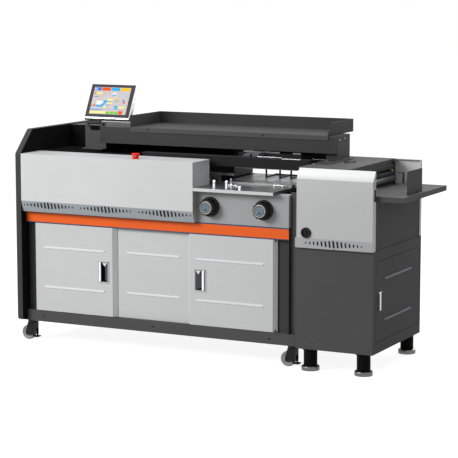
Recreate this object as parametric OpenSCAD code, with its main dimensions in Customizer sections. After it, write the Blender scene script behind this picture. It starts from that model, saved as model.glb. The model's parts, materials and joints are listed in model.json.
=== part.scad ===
// Floor-standing perfect binding machine with an automatic cover feeder, in millimetres.
// X runs along the machine, Y from its front to its rear, and Z is up from the floor.

/* [Main body] */
// length of the main body, from the end panel's outer face to the right wall
main_w = 1511; // [1500:1:1560]
// depth of the main body, from the hood's front face to the rear wall
body_d = 720; // [700:1:760]
// thickness of the end panel on the left
panel_t = 34; // [28:1:36]
// sheet thickness of the walls and covers
sheet = 3; // [2.5:0.5:4]
// height of the castors, up to the underside of the base
castor_h = 106; // [100:1:115]
// height of the base frame
plinth_h = 57; // [50:1:65]
// height of the door openings
door_h = 454; // [440:1:470]
// height of the orange strip above the doors
strip_h = 48.5; // [40:0.5:55]
// set-back of the door fronts behind the hood's front face
door_y = 46; // [42:1:50]
// thickness of a door
door_t = 22; // [20:1:24]
// width of the dark post left of the left door
post_w = 53; // [48:1:58]
// width of the left door
left_door_w = 473; // [450:1:480]
// width of the right door
right_door_w = 483; // [460:1:490]
// width of the dark post right of the right door
end_post_w = 65; // [60:1:70]

/* [Hood and table] */
// length of the bay with the work table, between the hood and the right wall
bay_w = 493; // [480:1:500]
// depth of the hood's top
hood_d = 180; // [170:1:184]
// height of the hood's top above the floor
hood_top = 972; // [965:1:990]
// height of the work table's top above the floor
table_z = 849; // [844:1:856]
// thickness of the work table
table_t = 16; // [12:1:20]
// length of the work table
table_w = 431; // [425:1:435]
// diameter of the adjusting knobs' flanges
knob_dia = 98; // [80:1:104]
// distance between the two adjusting knobs
knob_gap = 288; // [250:1:300]

/* [Beam and shelf] */
// height of the top beam
beam_h = 84; // [78:1:90]
// depth of the beam
beam_d = 190; // [180:1:200]
// left end of the beam, from the end panel's outer face
beam_x = 312; // [300:1:330]
// set-back of the beam's front face
beam_y = 321; // [316:1:326]
// height of the beam's underside above the hood's top
beam_rise = 40; // [38:1:50]
// height of the shelf's end plates above the beam
shelf_h = 64; // [50:1:80]
// length of the shelf
shelf_w = 1100; // [1080:1:1110]
// depth of the shelf
shelf_d = 318; // [300:1:330]
// length of the book clamp's jaws
clamp_w = 340; // [320:1:350]
// left end of the guide rail, from the end panel's outer face
rail_x = 620; // [600:1:640]
// front-to-back width of the guide rail
rail_w = 52; // [48:1:53]
// set-back of the front wall of the rear housing
housing_y = 490; // [480:1:500]
// width of the touch screen
screen_w = 267; // [240:1:290]
// height of the touch screen
screen_h = 195; // [170:1:210]
// lean of the touch screen, in degrees
screen_lean = 27; // [15:1:35]
// left edge of the touch screen
screen_x = 193; // [185:1:195]
// set-back of the touch screen's tilt pin
screen_y = 391; // [380:1:400]
// height of the tilt pin above the hood's top
screen_rise = 131; // [120:1:150]

/* [Cover feeder] */
// width of the link column between the main body and the feeder
link_w = 47; // [40:1:60]
// length of the feeder cabinet
feeder_w = 396; // [380:1:420]
// depth of the feeder cabinet
feeder_d = 627; // [610:1:640]
// set-back of the feeder cabinet's front
feeder_y = 25; // [22:1:30]
// height of the levelling feet
foot_h = 103.5; // [95:0.5:110]
// height of the seam between the feeder cabinet and its covers
seam_z = 594; // [580:1:605]
// height of the cover tray above the floor
tray_z = 853.5; // [846:0.5:860]
// length of the cover tray outside the feeder
tray_out = 142; // [120:1:200]
// diameter of the feed rollers
feed_dia = 44; // [36:1:44]
// diameter of the glue rollers
glue_dia = 60; // [50:1:60]
// diameter of the milling cutter
cutter_dia = 150; // [120:1:160]
// diameter of the extraction port in the rear housing
port_dia = 102; // [80:1:127]
// diameter of the cable entry in the rear wall
gland_dia = 32; // [20:1:40]

/* [Inside] */
// length of the glue tank
tank_w = 296; // [280:1:310]
// distance between the two glue rollers
roller_gap = 160; // [150:1:170]
// length of the milling unit's housing
mill_w = 184; // [176:1:190]
// length of the drive motor
motor_w = 125; // [100:1:140]

/* [Castors and fits] */
// diameter of the castor wheels
wheel_dia = 75; // [65:1:80]
// width of the castor wheels
wheel_w = 26; // [20:1:30]
// distance of a castor wheel behind its swivel axis
trail = 24; // [20:1:28]
// radial running clearance of shafts and pins
run_gap = 0.05; // [0.02:0.01:0.1]
// gap around moving pieces
gap = 0.5; // [0.4:0.1:1]

/* [Hidden] */
seat = 0.3;
base_z = castor_h;
floor_z = base_z + plinth_h;
head_z = floor_z + door_h;
strip_z = head_z + 5;
deck_z = strip_z + strip_h;
deck_top = deck_z + 6;
post_y = door_y + door_t + 4;
left_x = panel_t + post_w;
mid_x = left_x + left_door_w;
mid_w = main_w - panel_t - post_w - left_door_w - right_door_w - end_post_w;
right_x = mid_x + mid_w;
right_end = right_x + right_door_w;
hood_w = main_w - panel_t - bay_w;
hood_x = panel_t + hood_w;
slot_pitch = (hood_w - 372) / 30;
estop_x = hood_x - 334;
estop_y = 35;
knob_x = hood_x + 219;
knob_z = deck_top + 80;
table_d = body_d - sheet - 4;
hood_bend = deck_top + 56;
rail_z = hood_top - 35;
rail_y = hood_d + 27;
beam_z = hood_top + beam_rise;
beam_top = beam_z + beam_h;
side_top = hood_top + 117;
housing_top = side_top - 5;
feeder_x = main_w + link_w;
feeder_end = feeder_x + feeder_w;
beam_end = feeder_x + 69;
beam_back = beam_y + beam_d;
shelf_x = beam_end - 34 - shelf_w;
feeder_back = feeder_y + feeder_d;
cover_y = feeder_y - 13;
total_w = feeder_end + tray_out;
clamp_x = main_w - 396;
clamp_z = rail_z - 10;
jaw_y = rail_y + 55;
back_y = beam_y - 12;
clamp_top = beam_z - 22;
slot_y = beam_y + 94;
roll_x = feeder_end - 132;
roll_back = feeder_back - 56;
bed_x = hood_x + 100;
bed_w = table_w - 170;
bed_y = rail_y + 68;
spare = hood_x - beam_x - tank_w - mill_w;
tank_x = beam_x + spare / 4;
cutter_x = hood_x - spare / 4 - mill_w / 2;
glue_x1 = tank_x + (tank_w - roller_gap) / 2;
glue_x2 = glue_x1 + roller_gap;
glue_y = (jaw_y + 8 + back_y) / 2;
glue_z = table_z - 2 - glue_dia / 2;
pivot = 9;
edge = 20;
feet_x = [feeder_x + 66, feeder_end - 56];
feet_y = [feeder_y + 30, feeder_back - 30];
castor_y = [80, body_d - 80];
castor_x = [panel_t + 10, main_w + 10];
low_x = castor_x[0] - trail - wheel_dia / 2;
off_x = -(total_w + low_x) / 2;
off_y = -(door_y - 58 + body_d + 13) / 2;

dark = [0.22, 0.22, 0.23];
black = [0.06, 0.06, 0.07];
grey = [0.79, 0.79, 0.79];
pale = [0.88, 0.88, 0.88];
steel = [0.62, 0.63, 0.65];
chrome = [0.85, 0.85, 0.87];
orange = [0.93, 0.42, 0.16];
blue = [0.08, 0.3, 0.45];
red = [0.8, 0.08, 0.05];
rubber = [0.45, 0.45, 0.46];

// moves everything so that the origin is under the middle of the machine
module place() {
  translate([off_x, off_y, 0])
    children();
}

// a box from its low corner to its high corner
module span(low, high) {
  translate(low)
    cube([high[0] - low[0], high[1] - low[1], high[2] - low[2]]);
}

// a plate in the YZ plane, from x to x + t
module side_plate(x, t, points) {
  translate([x, 0, 0])
    rotate([90, 0, 90])
      linear_extrude(height = t)
        polygon(points);
}

// a round bar along Y, from y0 to y1
module bar_y(x, z, y0, y1, r) {
  translate([x, y1, z])
    rotate([90, 0, 0])
      cylinder(h = y1 - y0, r = r, $fn = 48);
}

// base frame: floor plate, four walls and the corner blocks of the castors
module base_frame() {
  color(dark)
    place()
      difference() {
        union() {
          span([panel_t, door_y, floor_z - 6], [feeder_x, body_d, floor_z]);
          span([panel_t, door_y, base_z], [feeder_x, door_y + 6, floor_z - 6]);
          span([panel_t, body_d - 6, base_z], [feeder_x, body_d, floor_z - 6]);
          span([panel_t, door_y + 6, base_z], [panel_t + 6, body_d - 6, floor_z - 6]);
          span([feeder_x - 6, door_y + 6, base_z], [feeder_x, body_d - 6, floor_z - 6]);
          span([main_w - 40, door_y + 6, base_z], [main_w - 34, body_d - 6, floor_z - 6]);
          for (y = castor_y) {
            span([8, y - 28, base_z], [panel_t + 56, y + 28, base_z + 7.7]);
            span([panel_t, y - 28, base_z], [panel_t + 56, y + 28, floor_z - 6]);
            span([main_w - 34, y - 28, base_z], [feeder_x, y + 28, floor_z - 6]);
          }
          for (x = [left_x + pivot, right_end - pivot])
            translate([x, door_y + pivot, floor_z])
              cylinder(h = 12, r = 4, $fn = 32);
        }
        for (x = castor_x)
          for (y = castor_y)
            translate([x, y, base_z - 1])
              cylinder(h = 36, r = 6 + run_gap, $fn = 48);
      }
}

// end panel on the left, with its sloped upper front edge
module left_panel() {
  front = [[10, base_z + 8], [0, base_z + 18], [0, hood_top], [side_top - hood_top, side_top]];
  rear = [[body_d, side_top], [body_d, base_z + 18], [body_d - 10, base_z + 8]];
  color(dark)
    place()
      side_plate(0, panel_t, concat(front, rear));
}

// posts and header around the door openings
module cabinet_frame() {
  color(dark)
    place()
      difference() {
        union() {
          span([panel_t, post_y, floor_z], [left_x, post_y + 36, deck_z]);
          span([mid_x - 24, post_y, floor_z], [mid_x + 24, post_y + 36, deck_z]);
          span([right_x - 24, post_y, floor_z], [right_x + 24, post_y + 36, deck_z]);
          span([right_end, post_y, floor_z], [main_w - sheet, post_y + 36, deck_z]);
          span([panel_t, door_y + sheet, head_z + 2], [main_w - sheet, post_y + 36, deck_z]);
          for (x = [left_x + pivot, right_end - pivot])
            translate([x, door_y + pivot, head_z - 10])
              cylinder(h = 14, r = 4, $fn = 32);
        }
        span([mid_x + 24, post_y + 6, head_z + 10], [right_x - 24, post_y + 30, deck_z - 6]);
      }
}

// rear wall, right wall and deck plate
module cabinet_shell() {
  color(dark)
    place()
      difference() {
        union() {
          span([panel_t, door_y, deck_z], [main_w, body_d, deck_top]);
          span([panel_t, body_d - sheet, floor_z], [main_w, body_d, table_z]);
          span([main_w - sheet, door_y + sheet, floor_z], [main_w, body_d, deck_z + 1]);
        }
        bar_y(main_w - 120, floor_z + 80, body_d - 10, body_d + 10, gland_dia / 2);
      }
}

// fixed panel between the doors, with its two raised ribs
module middle_panel() {
  x0 = mid_x + gap;
  x1 = right_x - gap;
  color(grey)
    place() {
      span([x0, post_y - 4, floor_z], [x1, post_y, head_z]);
      span([x0, post_y - 4, head_z - 1], [x1, post_y, head_z + 2]);
      for (z = [floor_z + 126, floor_z + 330])
        span([x0 + 50, post_y - 6.5, z - 5], [x1 - 52, post_y - 3, z + 5]);
    }
}

// orange strip on the header
module orange_strip() {
  color(orange)
    place()
      span([panel_t, door_y, strip_z], [main_w, door_y + sheet, deck_z]);
}

// grey panel under the table, with the holes of the two knob shafts
module dial_panel() {
  top = table_z - table_t;
  color(grey)
    place()
      difference() {
        union() {
          span([hood_x + 1, door_y, deck_top], [main_w, door_y + sheet, top]);
          span([hood_x + 1, door_y, deck_top], [hood_x + 1 + sheet, hood_d, top]);
          span([main_w - sheet, door_y, deck_top], [main_w, hood_d, top]);
          span([hood_x + 1, door_y, top - sheet], [main_w, door_y + 60, top]);
          for (x = [-knob_gap / 2, knob_gap / 2])
            bar_y(knob_x + x, knob_z, door_y, door_y + 24, 16);
        }
        for (x = [-knob_gap / 2, knob_gap / 2])
          bar_y(knob_x + x, knob_z, door_y - 1, door_y + 25, 8 + run_gap);
      }
}

// front hood: front face, top, ends and the slotted slope under the front face
module hood() {
  low = deck_top + seat;
  bend = [[0, hood_bend], [0, hood_top], [hood_d, hood_top], [hood_d, low], [15.5, low]];
  inner = [[sheet, hood_bend + 1], [sheet, hood_top - sheet], [hood_d + 1, hood_top - sheet],
    [hood_d + 1, low - 1], [15.5 + sheet, low - 1]];
  color(grey)
    place()
      difference() {
        side_plate(panel_t + seat, hood_w, bend);
        side_plate(panel_t + seat + sheet, hood_w - 2 * sheet, inner);
        for (group = [0, 1, 2])
          for (i = [-7:7])
            hood_slot(panel_t + 158 + group * (hood_w - 316) / 2 + i * slot_pitch, 36 - 4.1 * abs(i));
        translate([estop_x, estop_y, hood_top - 10])
          cylinder(h = 20, r = 11, $fn = 32);
      }
}

// one vent slot in the hood's slope
module hood_slot(x, length) {
  span([x - 3, -5, deck_top + 36 - length / 2], [x + 3, 30, deck_top + 36 + length / 2]);
}

// partitions and the black plate behind the hood
module inner_frame() {
  wall_y = hood_d + 4;
  pocket_y = housing_y - 1;
  rail_back = rail_y + rail_w;
  color(black)
    place() {
      span([panel_t, hood_d + seat, hood_top - 6], [beam_x - 6, pocket_y, hood_top]);
      span([panel_t, hood_d + seat, hood_top - 6], [rail_x, rail_back, hood_top]);
      span([panel_t, wall_y, deck_top], [rail_x, wall_y + 4, hood_top - 5]);
      span([beam_x - 12, wall_y, deck_top], [beam_x - 6, pocket_y, hood_top - 5]);
      span([rail_x - 6, wall_y, table_z + 8], [rail_x, rail_back, hood_top + 14]);
      span([panel_t, housing_y + 10, deck_top], [hood_x - 30, housing_y + 16, table_z]);
    }
}

// collar of the emergency stop
module estop_collar() {
  color([0.85, 0.7, 0.1])
    place()
      translate([estop_x, estop_y, 0])
        difference() {
          union() {
            translate([0, 0, hood_top])
              cylinder(h = 7, r = 17, $fn = 48);
            translate([0, 0, hood_top - 22])
              cylinder(h = 22.5, r = 10.7, $fn = 48);
          }
          translate([0, 0, hood_top - 30])
            cylinder(h = 60, r = 6 + run_gap, $fn = 48);
        }
}

// red push button of the emergency stop
module estop_button() {
  color(red)
    place()
      translate([estop_x, estop_y, hood_top]) {
        translate([0, 0, -12])
          cylinder(h = 26, r = 6, $fn = 48);
        translate([0, 0, 13])
          cylinder(h = 9, r1 = 17, r2 = 20, $fn = 48);
        translate([0, 0, 22])
          cylinder(h = 5, r1 = 20, r2 = 15, $fn = 48);
      }
}

// an adjusting knob with a round dial, and the shaft behind it
module knob(side) {
  x = knob_x + side * knob_gap / 2;
  z = knob_z;
  r = knob_dia / 2;
  bar_y(x, z, door_y - 14, door_y - gap, r);
  bar_y(x, z, door_y - 50, door_y - 14, r - 9);
  bar_y(x, z, door_y - 58, door_y - 50, r - 15.5);
  bar_y(x, z, door_y - 1, door_y + 60, 8);
  bar_y(x, z, door_y + 24 + gap, door_y + 36, 13);
  for (a = [0:30:330])
    translate([x, door_y - 14, z])
      rotate([90, a, 0])
        translate([r - 11, -4, 0])
          cube([5, 8, 30]);
}

module knob_left() {
  color(black)
    place()
      knob(-1);
}

module knob_right() {
  color(black)
    place()
      knob(1);
}

// a door pan between x0 and x1, with its bevels, ribs and pivot bores
module door(x0, x1, bevel0, bevel1, pin_x, pull_x) {
  z0 = floor_z + 2;
  z1 = head_z - 1;
  y1 = door_y + door_t;
  outer = [[x0, y1], [x0, door_y + bevel0], [x0 + bevel0, door_y], [x1 - bevel1, door_y],
    [x1, door_y + bevel1], [x1, y1]];
  difference() {
    translate([0, 0, z0])
      linear_extrude(height = z1 - z0)
        polygon(outer);
    difference() {
      span([x0 + edge, door_y + 2, z0 + 3], [x1 - edge, y1 + 1, z1 - 3]);
      span([pull_x - 4, door_y, z0 + 160], [pull_x + 68, y1 + 2, z0 + 290]);
    }
    span([pull_x + 4, door_y - 1, z0 + 173], [pull_x + 60, y1 + 2, z0 + 276]);
    translate([pin_x, door_y + pivot, z0 - 1])
      cylinder(h = 14, r = 4 + run_gap, $fn = 32);
    translate([pin_x, door_y + pivot, z1 - 12])
      cylinder(h = 14, r = 4 + run_gap, $fn = 32);
  }
  for (z = [floor_z + 126, floor_z + 330])
    span([x0 + 52, door_y - 2.5, z - 5], [x1 - 66, door_y + 1, z + 5]);
}

// a recessed door pull: a proud rim, a cup and a grip bar along one side
module pull(x, grip) {
  z0 = floor_z + 171;
  y1 = door_y + door_t;
  difference() {
    union() {
      span([x, door_y - 3.5, z0], [x + 64, door_y, z0 + 111]);
      span([x + 4.3, door_y - 1, z0 + 4.3], [x + 59.7, y1, z0 + 106.7]);
    }
    span([x + 7, door_y - 5, z0 + 7], [x + 57, y1 - 2, z0 + 104]);
  }
  span([x + grip, door_y - 9, z0 + 6], [x + grip + 12, door_y - 1, z0 + 105]);
}

module left_door() {
  color(grey)
    place()
      door(left_x + gap, mid_x - gap, 1, 20, left_x + pivot, mid_x - 104);
}

module left_handle() {
  color(chrome)
    place()
      pull(mid_x - 104, 8);
}

module right_door() {
  color(grey)
    place()
      door(right_x + gap, right_end - gap, 16, 18, right_end - pivot, right_x + 40);
}

module right_handle() {
  color(chrome)
    place()
      pull(right_x + 40, 44);
}

// a castor's fork, with its swivel pin, cheeks and brake pedal
module fork(ix, iy) {
  r = wheel_dia / 2;
  w = wheel_w / 2;
  top = base_z - 13;
  cheek = [[-trail - 10, r - 8], [-trail - 10, r + 8], [-20, top], [20, top], [20, r - 10], [16, r - 22],
    [12, r - 22], [8, r - 10], [-trail - 5, r - 12]];
  translate([castor_x[ix], castor_y[iy], 0]) {
    translate([0, 0, base_z - 14])
      cylinder(h = 14 - gap, r = 26, $fn = 48);
    for (y = [-w - 3, w + 7])
      translate([0, y, 0])
        rotate([90, 0, 0])
          linear_extrude(height = 4)
            polygon(cheek);
    span([16, -w - 4, r + 20], [20, w + 4, top]);
    translate([0, 0, base_z - 2])
      cylinder(h = 34, r = 6, $fn = 48);
    bar_y(-trail, r, -w - 9, w + 9, 5);
    span([12, -w - 4, r - 22], [16, w + 4, r - 16]);
    span([15, -16, r - 22], [36, 16, r - 16]);
  }
}

// a castor's wheel, on its axle
module wheel(ix, iy) {
  r = wheel_dia / 2;
  translate([castor_x[ix] - trail, castor_y[iy], r])
    rotate([90, 0, 0])
      difference() {
        rotate_extrude($fn = 72)
          polygon([[5 + run_gap, -wheel_w / 2], [r - 5, -wheel_w / 2], [r, -wheel_w / 2 + 5],
            [r, wheel_w / 2 - 5], [r - 5, wheel_w / 2], [5 + run_gap, wheel_w / 2]]);
        translate([0, 0, wheel_w / 2 - 3])
          ring(r - 10, 11, 4);
        translate([0, 0, -wheel_w / 2 - 1])
          ring(r - 10, 11, 4);
      }
}

// a flat ring, standing on the XY plane
module ring(outer_r, inner_r, h) {
  difference() {
    cylinder(h = h, r = outer_r, $fn = 48);
    translate([0, 0, -1])
      cylinder(h = h + 2, r = inner_r, $fn = 48);
  }
}

module fork_front_left() {
  color(black)
    place()
      fork(0, 0);
}

module fork_front_right() {
  color(black)
    place()
      fork(1, 0);
}

module fork_rear_left() {
  color(black)
    place()
      fork(0, 1);
}

module fork_rear_right() {
  color(black)
    place()
      fork(1, 1);
}

module wheel_front_left() {
  color(rubber)
    place()
      wheel(0, 0);
}

module wheel_front_right() {
  color(rubber)
    place()
      wheel(1, 0);
}

module wheel_rear_left() {
  color(rubber)
    place()
      wheel(0, 1);
}

module wheel_rear_right() {
  color(rubber)
    place()
      wheel(1, 1);
}

// top beam with the clamp's rail inside it, its rear skirt, and the column at its right end
module top_beam() {
  face_x = beam_end - 57;
  color(dark)
    place() {
      difference() {
        span([beam_x, beam_y, beam_z], [beam_end, beam_back, beam_top]);
        span([beam_x + 6, beam_y + 4, beam_z + 4], [beam_end - 6, beam_back - 4, beam_top - 4]);
        span([beam_x + 6, slot_y, beam_z - 1], [feeder_x - 20, slot_y + 50, beam_z + 5]);
      }
      span([beam_x + 5, slot_y + 15, beam_top - 26], [beam_end - 5, slot_y + 35, beam_top - 3]);
      span([hood_x - 28, beam_back - 4, rail_z + 3], [feeder_x - 1, beam_back, beam_z + 1]);
      span([feeder_x - 2, beam_back - 4, hood_top], [face_x + 1, beam_back, beam_z + 1]);
      span([face_x, beam_y + 26, hood_top], [beam_end, beam_back, beam_z + 1]);
      span([face_x, rail_y + 4, hood_top], [beam_end + 18, beam_back - 4, hood_top + 5]);
      span([beam_end - 1, beam_y + 26, hood_top + 20], [beam_end + 1.5, beam_back - 26, beam_top]);
    }
}

// shelf for book blocks on the beam: floor, front hem, end plates and rear wall
module shelf() {
  x1 = shelf_x + shelf_w;
  y0 = beam_y - 4;
  y1 = y0 + shelf_d;
  top = beam_top + shelf_h;
  right_end_plate = [[y0, beam_top], [y0, beam_top + 6], [y0 + 38, top], [y1, top], [y1, beam_top]];
  color(dark)
    place() {
      span([shelf_x, y0, beam_top], [x1, y1, beam_top + 4]);
      span([shelf_x, y0, beam_top - 20], [x1, beam_y, beam_top + 4]);
      span([shelf_x, y0, beam_top], [shelf_x + 4, y1, top]);
      span([shelf_x, y1 - 4, beam_top], [x1, y1, top]);
      side_plate(x1 - 4, 4, right_end_plate);
      span([shelf_x - 30, beam_back - 40, beam_top], [shelf_x, y1, beam_top + 9]);
    }
}

// dark housing at the rear left, behind the beam
module rear_housing() {
  y1 = body_d + 13;
  x1 = hood_x - 28;
  color(dark)
    place()
      difference() {
        union() {
          span([panel_t + seat, housing_y, table_z], [beam_x, y1, housing_top]);
          span([beam_x - 2, beam_back, table_z], [x1, y1, housing_top]);
        }
        span([panel_t + 4, housing_y + 4, table_z + 4], [beam_x - 4, beam_back + 5, housing_top - 4]);
        span([panel_t + 4, beam_back + 4, table_z + 4], [x1 - 4, y1 - 4, housing_top - 4]);
        bar_y(panel_t + 200, table_z + 120, body_d, body_d + 20, port_dia / 2);
      }
}

// bracket that carries the touch screen, with its notched upper edge
module screen_bracket() {
  x0 = screen_x - 13;
  x1 = x0 + 124;
  y1 = screen_y + 9;
  z1 = hood_top + screen_rise + 7;
  notch = [[x0 + 25, z1 + 1], [x0 + 25, z1 - 24], [x0 + 34, z1 - 43], [x0 + 90, z1 - 43], [x0 + 99, z1 - 24],
    [x0 + 99, z1 + 1]];
  color(dark)
    place()
      difference() {
        union() {
          span([x0, y1 - 4, hood_top], [x1, y1, z1]);
          span([x0, y1 - 40, hood_top], [x1, y1, hood_top + 4]);
          span([x0 + 12, y1 - 16, z1 - 14], [x0 + 24, y1, z1]);
          span([x0 + 100, y1 - 16, z1 - 14], [x0 + 112, y1, z1]);
        }
        translate([0, y1 + 5, 0])
          rotate([90, 0, 0])
            linear_extrude(height = 15)
              polygon(notch);
        for (x = [x0 + 11, x0 + 99])
          translate([x, screen_y, z1 - 7])
            rotate([0, 90, 0])
              cylinder(h = 14, r = 3 + run_gap, $fn = 32);
      }
}

// touch screen housing, on its tilt pin
module touch_screen() {
  color(black)
    place() {
      translate([screen_x - 3, screen_y, hood_top + screen_rise])
        rotate([0, 90, 0])
          cylinder(h = 104, r = 3, $fn = 32);
      translate([screen_x, screen_y, hood_top + screen_rise])
        rotate([-screen_lean, 0, 0])
          difference() {
            union() {
              translate([0, -40, 12])
                cube([screen_w, 32, screen_h]);
              translate([13, -12, -3.5])
                cube([72, 14.5, 28]);
            }
            translate([8, -41, 20])
              cube([screen_w - 16, 2.5, screen_h - 16]);
          }
    }
}

// work table, with the opening of the nipping bed and the slots of the jaws
module work_table() {
  color(steel)
    place()
      difference() {
        span([hood_x + seat, 0, table_z - table_t], [hood_x + table_w, table_d, table_z]);
        span([bed_x, bed_y, table_z - 40], [bed_x + bed_w, bed_y + 53, table_z + 1]);
        for (x = [bed_x - 12, bed_x + bed_w + 12])
          span([x - 5, bed_y - 38, table_z - 40], [x + 5, bed_y + 116, table_z + 1]);
      }
}

// frame under the table, with the guide bores of the nipping bed
module nip_frame() {
  top = table_z - table_t;
  color(dark)
    place()
      difference() {
        union() {
          span([bed_x - 62, 120, deck_top], [bed_x - 54, 640, top]);
          span([bed_x + bed_w + 54, 120, deck_top], [bed_x + bed_w + 62, 640, top]);
          span([bed_x - 55, bed_y - 10, deck_top + 84], [bed_x + bed_w + 55, bed_y + 63, deck_top + 104]);
        }
        for (x = [bed_x + 50, bed_x + bed_w - 50])
          translate([x, bed_y + 26.5, deck_top + 80])
            cylinder(h = 30, r = 8 + run_gap, $fn = 48);
      }
}

// nipping bed, flush with the table, on its two guide rods
module nip_bed() {
  color(steel)
    place() {
      span([bed_x + gap, bed_y + gap, table_z - 14], [bed_x + bed_w - gap, bed_y + 53 - gap, table_z]);
      for (x = [bed_x + 50, bed_x + bed_w - 50])
        translate([x, bed_y + 26.5, deck_top + 40])
          cylinder(h = table_z - 13 - deck_top - 40, r = 8, $fn = 48);
    }
}

// a nipping jaw on the table, with its two keys in the slots
module nip_jaw(y0, y1) {
  span([hood_x + 78, y0, table_z + seat], [hood_x + table_w - 8, y1, table_z + 12]);
  for (x = [bed_x - 12, bed_x + bed_w + 12])
    span([x - 4.7, (y0 + y1) / 2 - 10, table_z - 12], [x + 4.7, (y0 + y1) / 2 + 10, table_z + 1]);
}

module nip_jaw_front() {
  color(steel)
    place()
      nip_jaw(bed_y - 46, bed_y - 2);
}

module nip_jaw_rear() {
  color(steel)
    place()
      nip_jaw(bed_y + 55, bed_y + 148);
}

// dark guide rail in front of the book clamp
module guide_rail() {
  x1 = main_w + 30;
  color(dark)
    place()
      difference() {
        span([rail_x, rail_y, rail_z], [x1, rail_y + rail_w, rail_z + 50]);
        span([rail_x - 1, rail_y + 34, rail_z + 16], [x1 - 20, rail_y + rail_w + 8, rail_z + 34]);
      }
}

// book clamp carriage: slider block, top plate and rear jaw
module clamp_carriage() {
  x1 = clamp_x + clamp_w;
  color(steel)
    place()
      difference() {
        union() {
          span([clamp_x, back_y, clamp_top], [x1, beam_y + 159, clamp_top + 10]);
          span([clamp_x, back_y, clamp_z], [x1, back_y + 10, clamp_top + 1]);
          for (x = [clamp_x + 9, x1 - 9])
            span([x - 9, back_y + 9, clamp_z + 12], [x + 9, back_y + 40, clamp_z + 44]);
          span([clamp_x + 85, slot_y + 12, clamp_top + 9], [x1 - 85, slot_y + 38, beam_z + 16]);
          span([clamp_x + 60, slot_y - 15, beam_z + 12], [x1 - 60, slot_y + 65, beam_top - 12]);
          span([clamp_x + 17, beam_y + 9, clamp_top + 9], [clamp_x + 215, beam_y + 37, clamp_top + 17]);
          span([clamp_x + 24, beam_y + 15, clamp_top + 9], [clamp_x + 70, beam_y + 31, clamp_top + 21.5]);
          span([x1 - 55, beam_y + 9, clamp_top + 9], [x1 - 12, beam_y + 41, clamp_top + 17]);
        }
        span([clamp_x + 50, slot_y + 15 - gap, beam_top - 26 - gap], [x1, slot_y + 35 + gap, beam_top]);
        for (x = [clamp_x + 9, x1 - 9])
          bar_y(x, clamp_z + 28, back_y - 1, back_y + 45, 7 + run_gap);
      }
}

// front jaw of the book clamp, on its two guide rods
module clamp_jaw() {
  x1 = clamp_x + clamp_w;
  color(steel)
    place() {
      span([clamp_x, jaw_y, clamp_z], [x1, jaw_y + 8, clamp_top - 4]);
      for (x = [clamp_x + 9, x1 - 9])
        bar_y(x, clamp_z + 28, jaw_y + 7, back_y + 66, 7);
    }
}

// milling unit: housing, motor and the guide bar at its outlet
module milling_unit() {
  x0 = cutter_x - mill_w / 2;
  x1 = cutter_x + mill_w / 2;
  y0 = glue_y - 92;
  y1 = glue_y + 100;
  top = table_z - 15;
  color(dark)
    place()
      difference() {
        union() {
          span([x0, y0, deck_top], [x1, y1, deck_top + 8]);
          span([x0, y0, deck_top], [x0 + 8, y1, top]);
          span([x1 - 8, y0, deck_top], [x1, y1, top]);
          span([x0, y0, top - 60], [x1, y1, top - 50]);
          translate([cutter_x, glue_y, deck_top + 7])
            cylinder(h = top - deck_top - 60, r = 55, $fn = 64);
          span([x1 - 8, back_y, top - 4], [hood_x + 72, back_y + 12, table_z + 43]);
        }
        translate([cutter_x, glue_y, deck_top + 20])
          cylinder(h = 200, r = 10 + run_gap, $fn = 48);
        span([hood_x - 5, back_y - 9, top - 10], [hood_x + 80, back_y + 30, table_z + 30]);
      }
}

// milling cutter: a toothed disc on its spindle
module milling_cutter() {
  top = table_z - 4;
  r = cutter_dia / 2;
  color(chrome)
    place()
      translate([cutter_x, glue_y, 0])
        difference() {
          union() {
            translate([0, 0, deck_top + 21])
              cylinder(h = top - deck_top - 25, r = 10, $fn = 48);
            translate([0, 0, top - 16])
              cylinder(h = 12, r = r, $fn = 96);
            for (a = [0:45:315])
              rotate([0, 0, a])
                span([r - 16, -5, top - 10], [r - 2, 5, top]);
          }
          for (a = [22.5:45:337.5])
            rotate([0, 0, a])
              translate([r - 30, 0, top - 17])
                cylinder(h = 14, r = 9, $fn = 24);
        }
}

// glue tank on its heated foot
module glue_tank() {
  x0 = tank_x;
  x1 = tank_x + tank_w;
  color(steel)
    place()
      difference() {
        union() {
          span([x0, glue_y - 75, glue_z - 45], [x1, glue_y + 75, glue_z + 24]);
          span([x0 + 40, glue_y - 55, deck_top], [x1 - 40, glue_y + 55, glue_z - 45]);
        }
        span([x0 + 8, glue_y - 55, glue_z - 38], [x1 - 8, glue_y + 55, glue_z + 25]);
        for (x = [glue_x1, glue_x2])
          bar_y(x, glue_z, glue_y - 80, glue_y + 80, 10 + run_gap);
      }
}

// a glue roller and its shaft
module glue_roller(x) {
  bar_y(x, glue_z, glue_y - 54, glue_y + 54, glue_dia / 2);
  bar_y(x, glue_z, glue_y - 84, glue_y + 84, 10);
}

module glue_roller_left() {
  color(steel)
    place()
      glue_roller(glue_x1);
}

module glue_roller_right() {
  color(steel)
    place()
      glue_roller(glue_x2);
}

// three black guide fingers at the rear of the table
module guide_fingers() {
  y0 = table_d - 147;
  color(black)
    place() {
      for (x = [126, 203, 265]) {
        span([hood_x + x - 4, y0, table_z], [hood_x + x + 4, y0 + 8, table_z + 100]);
        span([hood_x + x - 4, y0, table_z], [hood_x + x + 4, table_d - 4, table_z + 8]);
      }
      span([hood_x + 110, table_d - 24, table_z], [hood_x + 285, table_d - 4, table_z + 6]);
    }
}

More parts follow.
